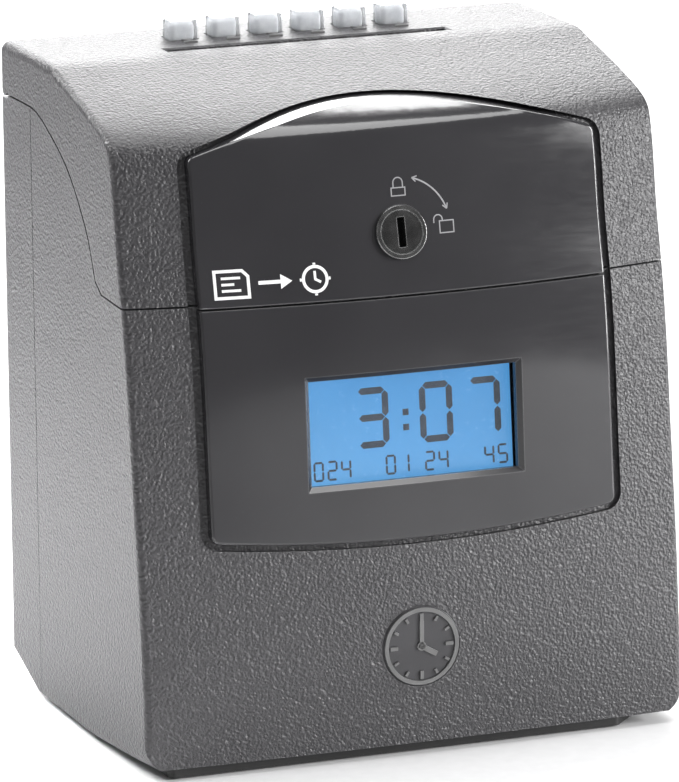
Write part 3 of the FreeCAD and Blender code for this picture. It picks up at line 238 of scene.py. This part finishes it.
def moulded_plastic(name, dark, light, rough, grain_scale=1500.0):
    """Plain moulded plastic with a fine grain, flow marks and rubbed edges."""
    t = Tree(name)
    edge_share = 0.5
    edge_tone = scaled(light, factor=1.5, base=0.05)
    smoother, rougher = rough - 0.07, rough + 0.09
    flow = t.noise(scale=30.0, detail=4.0, stretch=(1.0, 1.0, 3.0))
    grain = t.noise(scale=grain_scale, detail=2.0, rough=0.6)
    worn = t.times(t.edges(radius=0.4 * MM), t.span(t.noise(scale=300.0), low=0.4))
    body = t.blend(t.span(flow), dark, light)
    t.set(Base_Color=t.blend(t.times(worn, edge_share), body, edge_tone),
          Roughness=t.span(grain, to=(smoother, rougher)),
          Normal=t.bump(grain, depth=0.03 * MM, strength=0.6))
    return t.material


def rubber(name, level):
    """Soft rubber: fine pores, a dusty bloom and no shine."""
    t = Tree(name)
    bloom_share, bloom_level = 0.5, level * 2.6
    pores = t.noise(scale=2400.0, rough=0.7)
    bloom = t.span(t.noise(scale=90.0, detail=4.0), low=0.45, high=0.75)
    t.set(Base_Color=t.blend(t.times(bloom, bloom_share), grey(level), grey(bloom_level)),
          Roughness=t.span(pores, to=(0.68, 0.88)),
          Normal=t.bump(pores, depth=0.04 * MM, strength=0.7))
    return t.material


def metal(name, tone, rough, brush, spots=0.0):
    """Plated or bare metal brushed along one axis, with dull handling marks and bright edges."""
    t = Tree(name)
    shade, bright = scaled(tone, factor=0.72), scaled(tone, factor=1.25)
    dull_share, edge_share, dull_rough = 0.6, 0.6, 0.08
    smoother, rougher = rough - 0.06, rough + 0.08
    strokes = t.noise(scale=900.0, rough=0.65, stretch=brush)
    dull = t.span(t.noise(scale=60.0, detail=5.0), low=0.4, high=0.75)
    body = t.blend(t.times(dull, dull_share), tone, shade)
    if spots:
        fleck = t.span(t.cells(scale=420.0, feature="F1"), low=0.15, high=0.5)
        body = t.blend(t.times(fleck, spots), body, bright)
    t.set(Base_Color=t.blend(t.times(t.edges(radius=0.3 * MM), edge_share), body, bright),
          Metallic=1.0,
          Roughness=t.plus(t.span(strokes, to=(smoother, rougher)), t.times(dull, dull_rough)),
          Normal=t.bump(strokes, depth=0.012 * MM, strength=0.5))
    return t.material


def painted_metal(name, level):
    """Dark finish over metal, worn to bare metal on its edges."""
    t = Tree(name)
    bare, bare_metallic = grey(0.35), 0.9
    peel = t.noise(scale=1100.0, detail=2.0)
    worn = t.times(t.edges(radius=0.25 * MM), t.span(t.noise(scale=500.0), low=0.4, high=0.65))
    t.set(Base_Color=t.blend(worn, grey(level), bare),
          Metallic=t.times(worn, bare_metallic),
          Roughness=t.span(peel, to=(0.34, 0.46)),
          Normal=t.bump(peel, depth=0.02 * MM, strength=0.5))
    return t.material


def lock_chrome(name, dark, light):
    """Lock face: dull plating with fine circular turning marks and a painted highlight along its
    edges.
    """
    t = Tree(name)
    mark_pitch = 0.28 * MM
    edge_tone, metallic = grey(0.75), 0.85
    least_rough, haze_rough = 0.17, 0.08
    x = t.math("SUBTRACT", t.axis("X"), LOCK_CENTRE.x)
    z = t.math("SUBTRACT", t.axis("Z"), LOCK_CENTRE.z)
    radius = t.math("SQRT", t.plus(t.times(x, x), t.times(z, z)))
    rings = t.math("SINE", t.times(radius, 2 * math.pi / mark_pitch))
    haze = t.span(t.noise(scale=260.0, detail=4.0), low=0.35)
    plating = t.blend(haze, grey(dark), grey(light))
    # Painted highlight: edge_tone, a light grey, is laid along the edges of the ring and the plug.
    t.set(Base_Color=t.blend(t.edges(radius=0.35 * MM), plating, edge_tone),
          Metallic=metallic,
          Roughness=t.plus(t.times(haze, haze_rough), least_rough),
          Normal=t.bump(rings, depth=0.004 * MM, strength=0.35))
    return t.material


def clear_button():
    """Milky clear plastic of the key caps, slightly cloudy, with scuffed edges."""
    t = Tree("button_clear")
    cool, pale, white = (0.86, 0.88, 0.90, 1), (0.95, 0.96, 0.97, 1), (1, 1, 1, 1)
    scuff_share = 0.5
    cloud = t.noise(scale=220.0)
    scuff = t.times(t.edges(radius=0.3 * MM), scuff_share)
    tone = t.blend(t.span(cloud), cool, pale)
    t.set(Base_Color=t.blend(scuff, tone, white),
          Roughness=t.span(cloud, to=(0.10, 0.2)),
          Normal=t.bump(cloud, depth=0.08 * MM, strength=0.5),
          Transmission_Weight=0.8,
          IOR=1.46)
    return t.material


def button_core():
    """White light guide seen through a key cap."""
    t = Tree("button_core")
    shade, white = (0.70, 0.72, 0.76, 1), (0.93, 0.94, 0.96, 1)
    cloud = t.noise(scale=320.0, detail=4.0, rough=0.6)
    t.set(Base_Color=t.blend(t.span(cloud), shade, white),
          Roughness=t.span(cloud, to=(0.35, 0.55)),
          Normal=t.bump(cloud, depth=0.2 * MM, strength=0.6))
    return t.material


def clear_window():
    """Polished acrylic with a slight haze and hairline scratches."""
    t = Tree("clear_window")
    clear, tinted = (0.97, 0.985, 1.0, 1), (0.93, 0.955, 0.98, 1)
    scratches = t.noise(scale=1400.0, detail=2.0, stretch=(0.05, 1.0, 1.0))
    hairs = t.span(scratches, low=0.62)
    haze = t.noise(scale=60.0)
    t.set(Base_Color=t.blend(t.span(haze), clear, tinted),
          Roughness=t.span(t.plus(hairs, haze), low=0.4, high=1.4, to=(0.01, 0.07)),
          Normal=t.bump(hairs, depth=0.002 * MM, strength=0.2),
          Transmission_Weight=1.0,
          IOR=1.12)
    return t.material


def display_blue():
    """Backlit liquid crystal: brighter low on the left, with a fine cell pattern and a soft glow."""
    t = Tree("display_blue")
    dim_light, bright_light = (0.080, 0.30, 0.62, 1), (0.16, 0.39, 0.68, 1)
    dim_body, bright_body = (0.02, 0.06, 0.12, 1), (0.03, 0.08, 0.14, 1)
    backlight = 0.93
    low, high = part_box("lcd_glass")
    tall = t.span(t.axis("Z"), low.z, high.z)
    wide = t.span(t.axis("X"), low.x, high.x)
    glow = t.span(t.noise(scale=24.0, detail=2.0), to=(0.94, 1.05))
    pixels = t.span(t.cells(scale=2600.0, feature="F1"), low=0.0, high=0.6, to=(1.02, 0.97))
    rise = t.times(t.math("SUBTRACT", 1.0, tall), t.span(wide, low=0.0, high=1.0, to=(0.75, 0.35)))
    colour = t.blend(rise, dim_light, bright_light)
    level = t.times(glow, pixels)
    t.set(Base_Color=t.blend(rise, dim_body, bright_body),
          Roughness=t.span(t.noise(scale=900.0, detail=2.0), to=(0.2, 0.28)),
          Emission_Color=colour,
          Emission_Strength=t.times(level, backlight))
    return t.material


def segment_dark():
    """Dark liquid crystal segment that lets a little of the backlight through."""
    t = Tree("segment_dark")
    dark, light = (0.020, 0.024, 0.034, 1), (0.036, 0.042, 0.056, 1)
    dim_light, bright_light = (0.05, 0.06, 0.075, 1), (0.07, 0.085, 0.10, 1)
    patch = t.noise(scale=300.0, detail=2.0)
    t.set(Base_Color=t.blend(t.span(patch), dark, light),
          Roughness=t.span(patch, to=(0.3, 0.42)),
          Emission_Color=t.blend(patch, dim_light, bright_light),
          Emission_Strength=0.55)
    return t.material


def printed_ink(name, tone, rough):
    """Screen print with a slightly uneven cover."""
    t = Tree(name)
    smoother, rougher = rough - 0.05, rough + 0.07
    cover = t.noise(scale=1300.0, rough=0.6)
    t.set(Base_Color=t.blend(t.span(cover, high=0.6), scaled(tone, factor=0.86), tone),
          Roughness=t.span(cover, to=(smoother, rougher)),
          Normal=t.bump(cover, depth=0.006 * MM, strength=0.4))
    return t.material


def board_green():
    """Circuit board: solder mask over a tracery of copper tracks and a glass weave."""
    t = Tree("board_green")
    dark, light = (0.010, 0.085, 0.032, 1), (0.015, 0.12, 0.045, 1)
    over_copper = (0.035, 0.20, 0.075, 1)
    tracks = t.add("ShaderNodeTexBrick")
    across = t.add("ShaderNodeCombineXYZ")
    t.links.new(t.axis("X"), across.inputs[0])
    t.links.new(t.plus(t.axis("Z"), t.axis("Y")), across.inputs[1])
    t.links.new(across.outputs[0], tracks.inputs["Vector"])
    tracks.inputs["Scale"].default_value = 300.0
    tracks.inputs["Mortar Size"].default_value = 0.035
    tracks.inputs["Mortar Smooth"].default_value = 0.3
    copper = tracks.outputs["Fac"]
    weave = t.noise(scale=1800.0, detail=2.0)
    mask = t.blend(t.span(t.noise(scale=50.0)), dark, light)
    t.set(Base_Color=t.blend(copper, mask, over_copper),
          Roughness=t.span(weave, to=(0.24, 0.36)),
          Normal=t.bump(copper, depth=0.03 * MM, strength=0.6,
                        under=t.bump(weave, depth=0.01 * MM, strength=0.4)))
    return t.material


def ribbon_cloth():
    """Inked woven ribbon."""
    t = Tree("ribbon_ink")
    black, blue_black = (0.010, 0.010, 0.016, 1), (0.03, 0.03, 0.045, 1)
    weave = t.add("ShaderNodeTexWave", bands_direction="DIAGONAL")
    t.links.new(t.place, weave.inputs["Vector"])
    weave.inputs["Scale"].default_value = 900.0
    weave.inputs["Distortion"].default_value = 1.0
    ink = t.noise(scale=120.0)
    t.set(Base_Color=t.blend(ink, black, blue_black),
          Roughness=t.span(ink, to=(0.6, 0.8)),
          Normal=t.bump(weave.outputs["Fac"], depth=0.03 * MM, strength=0.6))
    return t.material


def floor_paper():
    """Pale studio paper with a faint fibre."""
    t = Tree("studio_paper")
    shade, white = (0.90, 0.90, 0.905, 1), (0.94, 0.94, 0.945, 1)
    fibre = t.noise(scale=240.0, detail=4.0)
    t.set(Base_Color=t.blend(t.span(fibre), shade, white),
          Roughness=0.9)
    return t.material


# ---------------------------------------------------------------- finishes of the CAD nodes

SILVER = (0.58, 0.585, 0.60, 1)
ALUMINIUM = (0.62, 0.63, 0.64, 1)
NICKEL = (0.7, 0.69, 0.67, 1)
IVORY_DARK, IVORY_LIGHT = (0.62, 0.61, 0.57, 1), (0.72, 0.71, 0.67, 1)
BADGE_DARK, BADGE_LIGHT = (0.035, 0.034, 0.037, 1), (0.05, 0.049, 0.053, 1)
ALONG_X, ALONG_Z, NO_BRUSH = (0.06, 1.0, 1.0), (1.0, 1.0, 0.1), (1.0, 1.0, 1.0)
FINE_GRAIN, FINEST_GRAIN = 2200.0, 2400.0

FINISHES = {
    "housing_plastic": housing_plastic,
    "panel_gloss": panel_gloss,
    "base_plastic": lambda: moulded_plastic("base_plastic", grey(0.012), grey(0.02), rough=0.5),
    "rubber_black": lambda: rubber("rubber_black", level=0.014),
    "clear_window": clear_window,
    "display_blue": display_blue,
    "lock_chrome": lambda: lock_chrome("lock_chrome", dark=0.10, light=0.15),
    "steel": lambda: metal("steel", SILVER, rough=0.3, brush=ALONG_X, spots=0.25),
    "steel_dark": lambda: painted_metal("steel_dark", level=0.03),
    "button_clear": clear_button,
    "board_green": board_green,
    "parts_black": lambda: moulded_plastic("parts_black", grey(0.02), grey(0.034), rough=0.45,
                                           grain_scale=FINEST_GRAIN),
    "white_plastic": lambda: moulded_plastic("white_plastic", IVORY_DARK, IVORY_LIGHT, rough=0.42),
    "black_plastic": lambda: moulded_plastic("black_plastic", grey(0.018), grey(0.028), rough=0.4),
    "aluminium_cast": lambda: metal("aluminium_cast", ALUMINIUM, rough=0.42, brush=NO_BRUSH),
    "emblem_metal": lambda: moulded_plastic("emblem_metal", BADGE_DARK, BADGE_LIGHT, rough=0.42,
                                            grain_scale=FINE_GRAIN),
    "battery_metal": lambda: metal("battery_metal", NICKEL, rough=0.2, brush=ALONG_Z),
    "ribbon_ink": ribbon_cloth,
    "belt_rubber": lambda: rubber("belt_rubber", level=0.02),
}
finish = {slot: make() for slot, make in FINISHES.items()}
finish["print_white"] = printed_ink("print_white", grey(0.90), rough=0.45)
finish["print_grey"] = printed_ink("print_grey", (0.30, 0.30, 0.31, 1), rough=0.4)
# Painted shade: the near-black of the strip on the right of the display, in place of the shaded wall
# of the window opening.
finish["shade_strip_black"] = printed_ink("shade_strip_black", (0.008, 0.008, 0.009, 1), rough=0.5)
finish["segment_dark"] = segment_dark()
finish["lock_disc"] = lock_chrome("lock_disc", dark=0.07, light=0.11)
# Painted highlight: the raised clock face on the badge and the raised marks beside the keys are the
# same dark plastic as round them, drawn in a lighter grey as if lit.
finish["badge_relief"] = moulded_plastic("badge_relief", grey(0.12), grey(0.16), rough=0.34,
                                         grain_scale=FINE_GRAIN)
finish["button_core"] = button_core()

for row in frame["record"]["subparts"]:
    node = NODES[row["node"]]
    node.data.materials.clear()
    node.data.materials.append(finish[row["material_slot"]])
NODES["lock_plug"].data.materials[0] = finish["lock_disc"]


# ---------------------------------------------------------------- surfaces to lay prints on

# Rays start this far out, beyond the whole clock.
RAY_START = 1.0


def facing(node, start, way):
    """Maps (u, v) to the point of the node's face that a ray meets, and its outward direction."""
    bm = bmesh.new()
    bm.from_mesh(NODES[node].data)
    tree = BVHTree.FromBMesh(bm)
    bm.free()

    def find(u, v):
        point, normal, _, _ = tree.ray_cast(start(u, v), way)
        return point, normal if normal.dot(way) < 0 else -normal
    return find


def facing_front(node):
    """Seen from the front: u is x and v is z."""
    return facing(node, lambda u, v: Vector((u, -RAY_START, v)), Vector((0, 1, 0)))


def facing_up(node):
    """Seen from above: u is x and v is y."""
    return facing(node, lambda u, v: Vector((u, v, RAY_START)), Vector((0, 0, -1)))


# ---------------------------------------------------------------- flat drawings

# Longest side of a stroke, so that it follows a curved surface.
STEP = 1.0 * MM
# Least squared length of the mean side step: a mitre runs out at most twice the half width.
LEAST_MEAN = 0.25


def polar(centre, radius, degrees):
    """The point at a distance from the centre, its angle counted from +u towards +v."""
    turn = math.radians(degrees)
    return (centre[0] + radius * math.cos(turn), centre[1] + radius * math.sin(turn))


def arc(centre, radius, start, end, parts):
    return [polar(centre, radius, start + (end - start) * n / parts) for n in range(parts + 1)]


def around(middle, half):
    return (middle - half, middle + half)


def short_steps(path, closed):
    """The path with points added so that no side is longer than a step."""
    out = []
    for here, after in zip(path, path[1:] + path[:1] if closed else path[1:]):
        parts = max(1, math.ceil(math.dist(here, after) / STEP))
        run = (after[0] - here[0], after[1] - here[1])
        out += [(here[0] + run[0] * n / parts, here[1] + run[1] * n / parts) for n in range(parts)]
    return out if closed else out + [path[-1]]


def side_step(before, here, after):
    """Unit step to the left of the path at a point, longer at a corner so that the width is kept."""
    ways = []
    for first, second in ((before, here), (here, after)):
        if first is None or second is None:
            continue
        run = Vector((second[0] - first[0], second[1] - first[1])).normalized()
        ways.append(Vector((-run.y, run.x)))
    mean = sum(ways, Vector((0, 0))) / len(ways)
    return mean / max(mean.length_squared, LEAST_MEAN)


class Drawing:
    """Flat strokes and patches, laid on a surface as thin closed solids."""

    def __init__(self):
        self.points = []
        self.faces = []

    def patch(self, corners):
        """One filled convex patch."""
        start = len(self.points)
        self.points += corners
        self.faces.append(tuple(range(start, start + len(corners))))

    def stroke(self, path, width, closed=False):
        """A line of even width with mitred corners."""
        path = short_steps(path, closed)
        count = len(path)
        start = len(self.points)
        for n, here in enumerate(path):
            before = path[(n - 1) % count] if closed or n else None
            after = path[(n + 1) % count] if closed or n < count - 1 else None
            left = side_step(before, here, after)
            self.points.append((here[0] + left[0] * width / 2, here[1] + left[1] * width / 2))
            self.points.append((here[0] - left[0] * width / 2, here[1] - left[1] * width / 2))
        for n in range(count if closed else count - 1):
            a = start + 2 * n
            b = start + 2 * ((n + 1) % count)
            self.faces.append((a, a + 1, b + 1, b))

    def bar(self, x, y):
        """A filled rectangle."""
        centre = (y[0] + y[1]) / 2
        self.stroke([(x[0], centre), (x[1], centre)], y[1] - y[0])

    def outline(self, x, y, width):
        """The sides of a rectangle."""
        self.stroke([(x[0], y[0]), (x[1], y[0]), (x[1], y[1]), (x[0], y[1])], width, True)

    def shackle(self, centre, radius, feet, width):
        """A half circle with a leg down to each foot."""
        left, right = centre[0] - radius, centre[0] + radius
        self.stroke([(left, feet[0])] + arc(centre, radius, 180, 0, 12) + [(right, feet[1])], width)

    def spoke(self, centre, degrees, inner, outer, width):
        """A bar along a radius."""
        self.stroke([polar(centre, inner, degrees), polar(centre, outer, degrees)], width)

    def disc(self, centre, radius, parts=24):
        self.patch([polar(centre, radius, 360 * n / parts) for n in range(parts)])

    def circle(self, centre, radius, width, parts=48):
        self.stroke(arc(centre, radius, 0, 360, parts)[:-1], width, True)


def lay(name, drawing, find, body, look, lift=0.03 * MM, depth=0.05 * MM):
    """Lays a drawing on a surface: its top lifted a little, its underside sunk into the surface."""
    bm = bmesh.new()
    upper, lower = [], []
    for u, v in drawing.points:
        point, normal = find(u, v)
        upper.append(bm.verts.new(point + normal * lift))
        lower.append(bm.verts.new(point - normal * depth))
    rims = {}
    for face in drawing.faces:
        bm.faces.new([upper[n] for n in face])
        bm.faces.new([lower[n] for n in reversed(face)])
        for a, b in zip(face, face[1:] + face[:1]):
            rims[frozenset((a, b))] = None if frozenset((a, b)) in rims else (a, b)
    for rim in rims.values():
        if rim:
            a, b = rim
            bm.faces.new((upper[b], upper[a], lower[a], lower[b]))
    bmesh.ops.recalc_face_normals(bm, faces=bm.faces[:])
    return mesh_piece(name, bm, body, look)


def mesh_piece(name, bm, body, look, smooth=False):
    mesh = bpy.data.meshes.new(name)
    bm.to_mesh(mesh)
    bm.free()
    mesh.materials.append(finish[look])
    mesh.polygons.foreach_set("use_smooth", [smooth] * len(mesh.polygons))
    piece = bpy.data.objects.new(name, mesh)
    scene.collection.objects.link(piece)
    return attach(piece, body)


# ---------------------------------------------------------------- prints on the upper panel

def card_and_clock():
    """White pictogram on the upper panel: a punched card, an arrow and a clock."""
    d = Drawing()
    low, high = 134.2 * MM, 141.4 * MM
    centre = (low + high) / 2
    line = 0.85 * MM

    card_left, card_right, snip = -56.0 * MM, -46.6 * MM, 1.6 * MM
    d.stroke([(card_left, low), (card_right, low), (card_right, high - snip),
              (card_right - snip, high), (card_left, high)], line, True)
    row_left, first_row, row_pitch, row_half = -54.2 * MM, low + 1.9 * MM, 1.7 * MM, 0.35 * MM
    for n, reach in enumerate((5.4 * MM, 3.6 * MM, 5.4 * MM)):
        d.bar((row_left, row_left + reach), around(first_row + n * row_pitch, row_half))

    tail, neck, head_back, tip = -43.8 * MM, -37.4 * MM, -37.5 * MM, -34.2 * MM
    shaft_half, head_half = 0.5 * MM, 2.0 * MM
    d.bar((tail, neck), around(centre, shaft_half))
    d.patch([(head_back, centre - head_half), (tip, centre), (head_back, centre + head_half)])

    face = (-27.6 * MM, centre)
    minute_hand, hour_right, hour_down, hand = 2.2 * MM, 1.6 * MM, 0.9 * MM, 0.7 * MM
    tick_from, tick_to, tick = 3.9 * MM, 4.4 * MM, 0.8 * MM
    d.circle(face, 3.4 * MM, line)
    d.stroke([(face[0], centre + minute_hand), face, (face[0] + hour_right, centre - hour_down)], hand)
    for n in range(4):
        d.spoke(face, 90 * n, tick_from, tick_to, tick)
    return d


def lock_legend():
    """Lines round the lock: closed padlock above, open padlock to the right, arc between."""
    d = Drawing()
    line, sweep_line, barb_line = 0.32 * MM, 0.42 * MM, 0.34 * MM
    cx, cz = LOCK_CENTRE.x, LOCK_CENTRE.z

    low = cz + 10.0 * MM
    foot = low + 2.3 * MM
    d.outline(around(cx, 2.05 * MM), (low, low + 2.2 * MM), line)
    d.shackle((cx, low + 3.6 * MM), 1.4 * MM, (foot, foot), line)

    right, level = cx + 13.9 * MM, cz + 0.4 * MM
    feet = (level + 1.2 * MM, level + 1.75 * MM)
    d.outline(around(right, 2.1 * MM), around(level, 1.65 * MM), line)
    d.shackle((right - 2.5 * MM, level + 2.1 * MM), 1.3 * MM, feet, line)

    reach, top_end, right_end = 15.2 * MM, 73.7, 20.4
    barb, barb_turn = 1.6 * MM, 150
    sweep = arc((cx, cz), reach, top_end, right_end, 24)
    d.stroke(sweep, sweep_line)
    for tip, onward in ((sweep[0], top_end + 90), (sweep[-1], right_end - 90)):
        for turn in (barb_turn, -barb_turn):
            d.stroke([tip, polar(tip, barb, onward + turn)], barb_line)
    return d


on_panel = facing_front("upper_front_panel")
lay("panel_pictogram", card_and_clock(), on_panel, "hood", "print_white")
lay("lock_legend", lock_legend(), on_panel, "hood", "print_grey")


# ---------------------------------------------------------------- display segments

SEGMENTS = {
    "0": "abcdef", "1": "bc", "2": "abged", "3": "abgcd", "4": "fgbc", "5": "afgcd", "7": "abc",
}
# Gap at each end of a segment, in strokes.
SEGMENT_GAP = 0.08


def digit(drawing, figure, left, low, width, height, stroke):
    """One seven-segment figure; each segment is a bar with pointed ends."""
    half = stroke / 2
    near, far = left + half, left + width - half
    base, roof = low + half, low + height - half
    centre = low + height / 2
    rails = {
        "a": ((near, roof), (far, roof)),
        "g": ((near, centre), (far, centre)),
        "d": ((near, base), (far, base)),
        "f": ((near, centre), (near, roof)),
        "b": ((far, centre), (far, roof)),
        "e": ((near, base), (near, centre)),
        "c": ((far, base), (far, centre)),
    }
    for key in SEGMENTS[figure]:
        start, end = Vector(rails[key][0]), Vector(rails[key][1])
        way = (end - start).normalized()
        left_way = Vector((-way.y, way.x))
        start += way * stroke * SEGMENT_GAP
        end -= way * stroke * SEGMENT_GAP
        corners = [start, start + (way + left_way) * half, end + (left_way - way) * half, end,
                   end - (left_way + way) * half, start + (way - left_way) * half]
        drawing.patch([tuple(c) for c in corners])


def display_time():
    d = Drawing()
    low, tall, wide, stroke = 88.2 * MM, 17.0 * MM, 10.0 * MM, 1.9 * MM
    for figure, left in (("3", -15.9 * MM), ("0", 3.4 * MM), ("7", 17.9 * MM)):
        digit(d, figure, left, low, wide, tall, stroke)
    colon_x, colon_half = (-1.7 * MM, 0.1 * MM), 0.9 * MM
    for share in (0.29, 0.54):
        d.bar(colon_x, around(low + share * tall, colon_half))
    return d


def display_date():
    """The small row of figures under the time."""
    d = Drawing()
    low, tall, wide, stroke, pitch = 80.2 * MM, 5.6 * MM, 3.1 * MM, 0.6 * MM, 4.1 * MM
    for group, left in (("024", -29.0 * MM), ("01", -7.4 * MM), ("24", 4.4 * MM), ("45", 22.4 * MM)):
        for place, figure in enumerate(group):
            digit(d, figure, left + pitch * place, low, wide, tall, stroke)
    return d


def display_shade_strip():
    """Near-black strip on the glass along the right side of the cell: painted shade standing in for
    the dark, shaded right wall of the window opening.
    """
    d = Drawing()
    side, height = (31.0 * MM, 33.3 * MM), (78.2 * MM, 110.6 * MM)
    d.bar(side, height)
    return d


on_glass = facing_front("lcd_glass")
lay("display_time", display_time(), on_glass, "frame", "segment_dark")
lay("display_date", display_date(), on_glass, "frame", "segment_dark")
lay("display_shade_strip", display_shade_strip(), on_glass, "frame", "shade_strip_black")


# ---------------------------------------------------------------- marks beside the keys

def key_marks():
    """A bar and a bold arrowhead before each key: towards the slot for in, away from it for out."""
    d = Drawing()
    bar_half, head_half, head, line_half = 2.0 * MM, 1.6 * MM, 2.4 * MM, 0.45 * MM
    before_key, gap = 4.2 * MM, 1.0 * MM
    for number in KEYS:
        low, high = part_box("button_%d" % number)
        x = (low.x + high.x) / 2
        y = low.y - before_key
        near, far = y + gap, y + gap + head
        back, tip = (far, near) if number % 2 else (near, far)
        d.bar(around(x, bar_half), around(y, line_half))
        d.patch([(x - head_half, back), (x, tip), (x + head_half, back)])
    return d


RAISED, SUNK = 0.5 * MM, 0.2 * MM
lay("key_marks", key_marks(), facing_up("hood"), "hood", "badge_relief", RAISED, SUNK)


# ---------------------------------------------------------------- key cores

def key_core(number):
    """Rounded light guide inside a clear key cap."""
    size, rounding, cap_top = Vector((6.6 * MM, 5.2 * MM, 5.4 * MM)), 1.3 * MM, 0.9 * MM
    low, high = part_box("button_%d" % number)
    centre = Vector(((low.x + high.x) / 2, (low.y + high.y) / 2, high.z - cap_top - size.z / 2))
    bm = bmesh.new()
    bmesh.ops.create_cube(bm, size=1.0)
    bmesh.ops.scale(bm, vec=size, verts=bm.verts[:])
    bmesh.ops.bevel(bm, geom=bm.edges[:], offset=rounding, segments=4, affect="EDGES", profile=0.6)
    bmesh.ops.translate(bm, vec=centre, verts=bm.verts[:])
    return mesh_piece("button_%d_core" % number, bm, "key_%d" % number, "button_core", True)


for key_number in KEYS:
    key_core(key_number)


# ---------------------------------------------------------------- clock face on the badge

def badge_relief():
    """Raised rim, hour bars and two hands of a plain clock face."""
    d = Drawing()
    low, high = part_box("emblem")
    centre = ((low.x + high.x) / 2, (low.z + high.z) / 2)
    radius = (high.x - low.x) / 2

    rim_inset, rim = 1.0 * MM, 1.1 * MM
    d.circle(centre, radius - rim_inset, rim, 72)

    bar_end = radius - 2.1 * MM
    quarter_bar = (radius - 4.4 * MM, 1.0 * MM)
    hour_bar = (radius - 3.5 * MM, 0.7 * MM)
    for hour in range(12):
        bar_start, width = hour_bar if hour % 3 else quarter_bar
        d.spoke(centre, 30 * hour, bar_start, bar_end, width)

    hand_tail = -1.0 * MM
    minute_hand, hour_hand = (90, 7.2 * MM, 1.2 * MM), (330, 5.2 * MM, 1.5 * MM)
    for angle, reach, width in (minute_hand, hour_hand):
        d.spoke(centre, angle, hand_tail, reach, width)
    d.disc(centre, 1.3 * MM)
    return d


BADGE_RAISED = 0.55 * MM
lay("badge_relief", badge_relief(), facing_front("emblem"), "frame", "badge_relief",
            BADGE_RAISED, SUNK)


# ---------------------------------------------------------------- floor, lights and camera

def studio_floor():
    bm = bmesh.new()
    bmesh.ops.create_grid(bm, x_segments=2, y_segments=2, size=6.0)
    mesh = bpy.data.meshes.new("studio_floor")
    bm.to_mesh(mesh)
    bm.free()
    mesh.materials.append(floor_paper())
    floor = bpy.data.objects.new("studio_floor", mesh)
    scene.collection.objects.link(floor)


# Places that lights face: the middle of the clock and its flat top.
AIM = (0.0, 0.0, 0.10)
TOP = (0.0, 0.0, 0.19)


def softbox(name, place, size, power, target=AIM, spread=180.0):
    """A rectangular soft light at place, facing target, its beam held to a spread in degrees."""
    data = bpy.data.lights.new(name, "AREA")
    data.shape = "RECTANGLE"
    data.size, data.size_y = size
    data.energy = power
    data.spread = math.radians(spread)
    lamp = bpy.data.objects.new(name, data)
    lamp.location = place
    lamp.rotation_mode = "QUATERNION"
    lamp.rotation_quaternion = (Vector(target) - Vector(place)).to_track_quat("-Z", "Y")
    scene.collection.objects.link(lamp)


def world_light(level):
    world = bpy.data.worlds.new("studio")
    world.use_nodes = True
    colour, strength = world.node_tree.nodes["Background"].inputs[:2]
    colour.default_value = (1.0, 1.0, 1.0, 1.0)
    strength.default_value = level
    scene.world = world


def photo_camera():
    """Long lens, left of the front and a little above the clock."""
    place = (-0.6500, -1.6650, 0.5164)
    right = Vector((0.93082, -0.36538, -0.00837))
    up = Vector((0.09226, 0.21275, 0.97274))
    back = Vector((-0.35364, -0.90622, 0.23174))
    data = bpy.data.cameras.new("camera")
    data.sensor_width = 36.0
    data.lens = 295.15
    data.shift_x = -0.0031
    data.shift_y = 0.0078
    data.clip_end = 50.0
    camera = bpy.data.objects.new("camera", data)
    turn = Matrix((right, up, back)).transposed().to_4x4()
    camera.matrix_world = Matrix.Translation(place) @ turn
    scene.collection.objects.link(camera)
    scene.camera = camera


studio_floor()
world_light(0.18)
softbox("back_top", (0.35, 1.18, 0.56), size=(1.0, 0.4), power=1.9, target=TOP, spread=80.0)
softbox("overhead", (0.1, 0.05, 1.25), size=(0.9, 0.9), power=12.5, target=(0.05, 0.0, 0.0))
softbox("back_floor", (0.75, 1.55, 1.2), size=(1.0, 1.0), power=20.0, target=(0.65, 1.45, 0.0),
        spread=120.0)
softbox("floor_pool", (-0.40, 0.30, 0.5), size=(0.3, 0.3), power=2.6, target=(-0.22, 0.16, 0.0),
        spread=100.0)
softbox("left", (-1.8, -0.3, 0.9), size=(1.2, 1.2), power=0.8)
softbox("right_front", (1.8, -1.05, 0.5), size=(0.8, 1.2), power=56.0)
softbox("streak", (1.42, -1.28, 0.70), size=(0.3, 0.42), power=12.0)
photo_camera()
scene.view_settings.view_transform = "Standard"
scene.view_settings.look = "None"
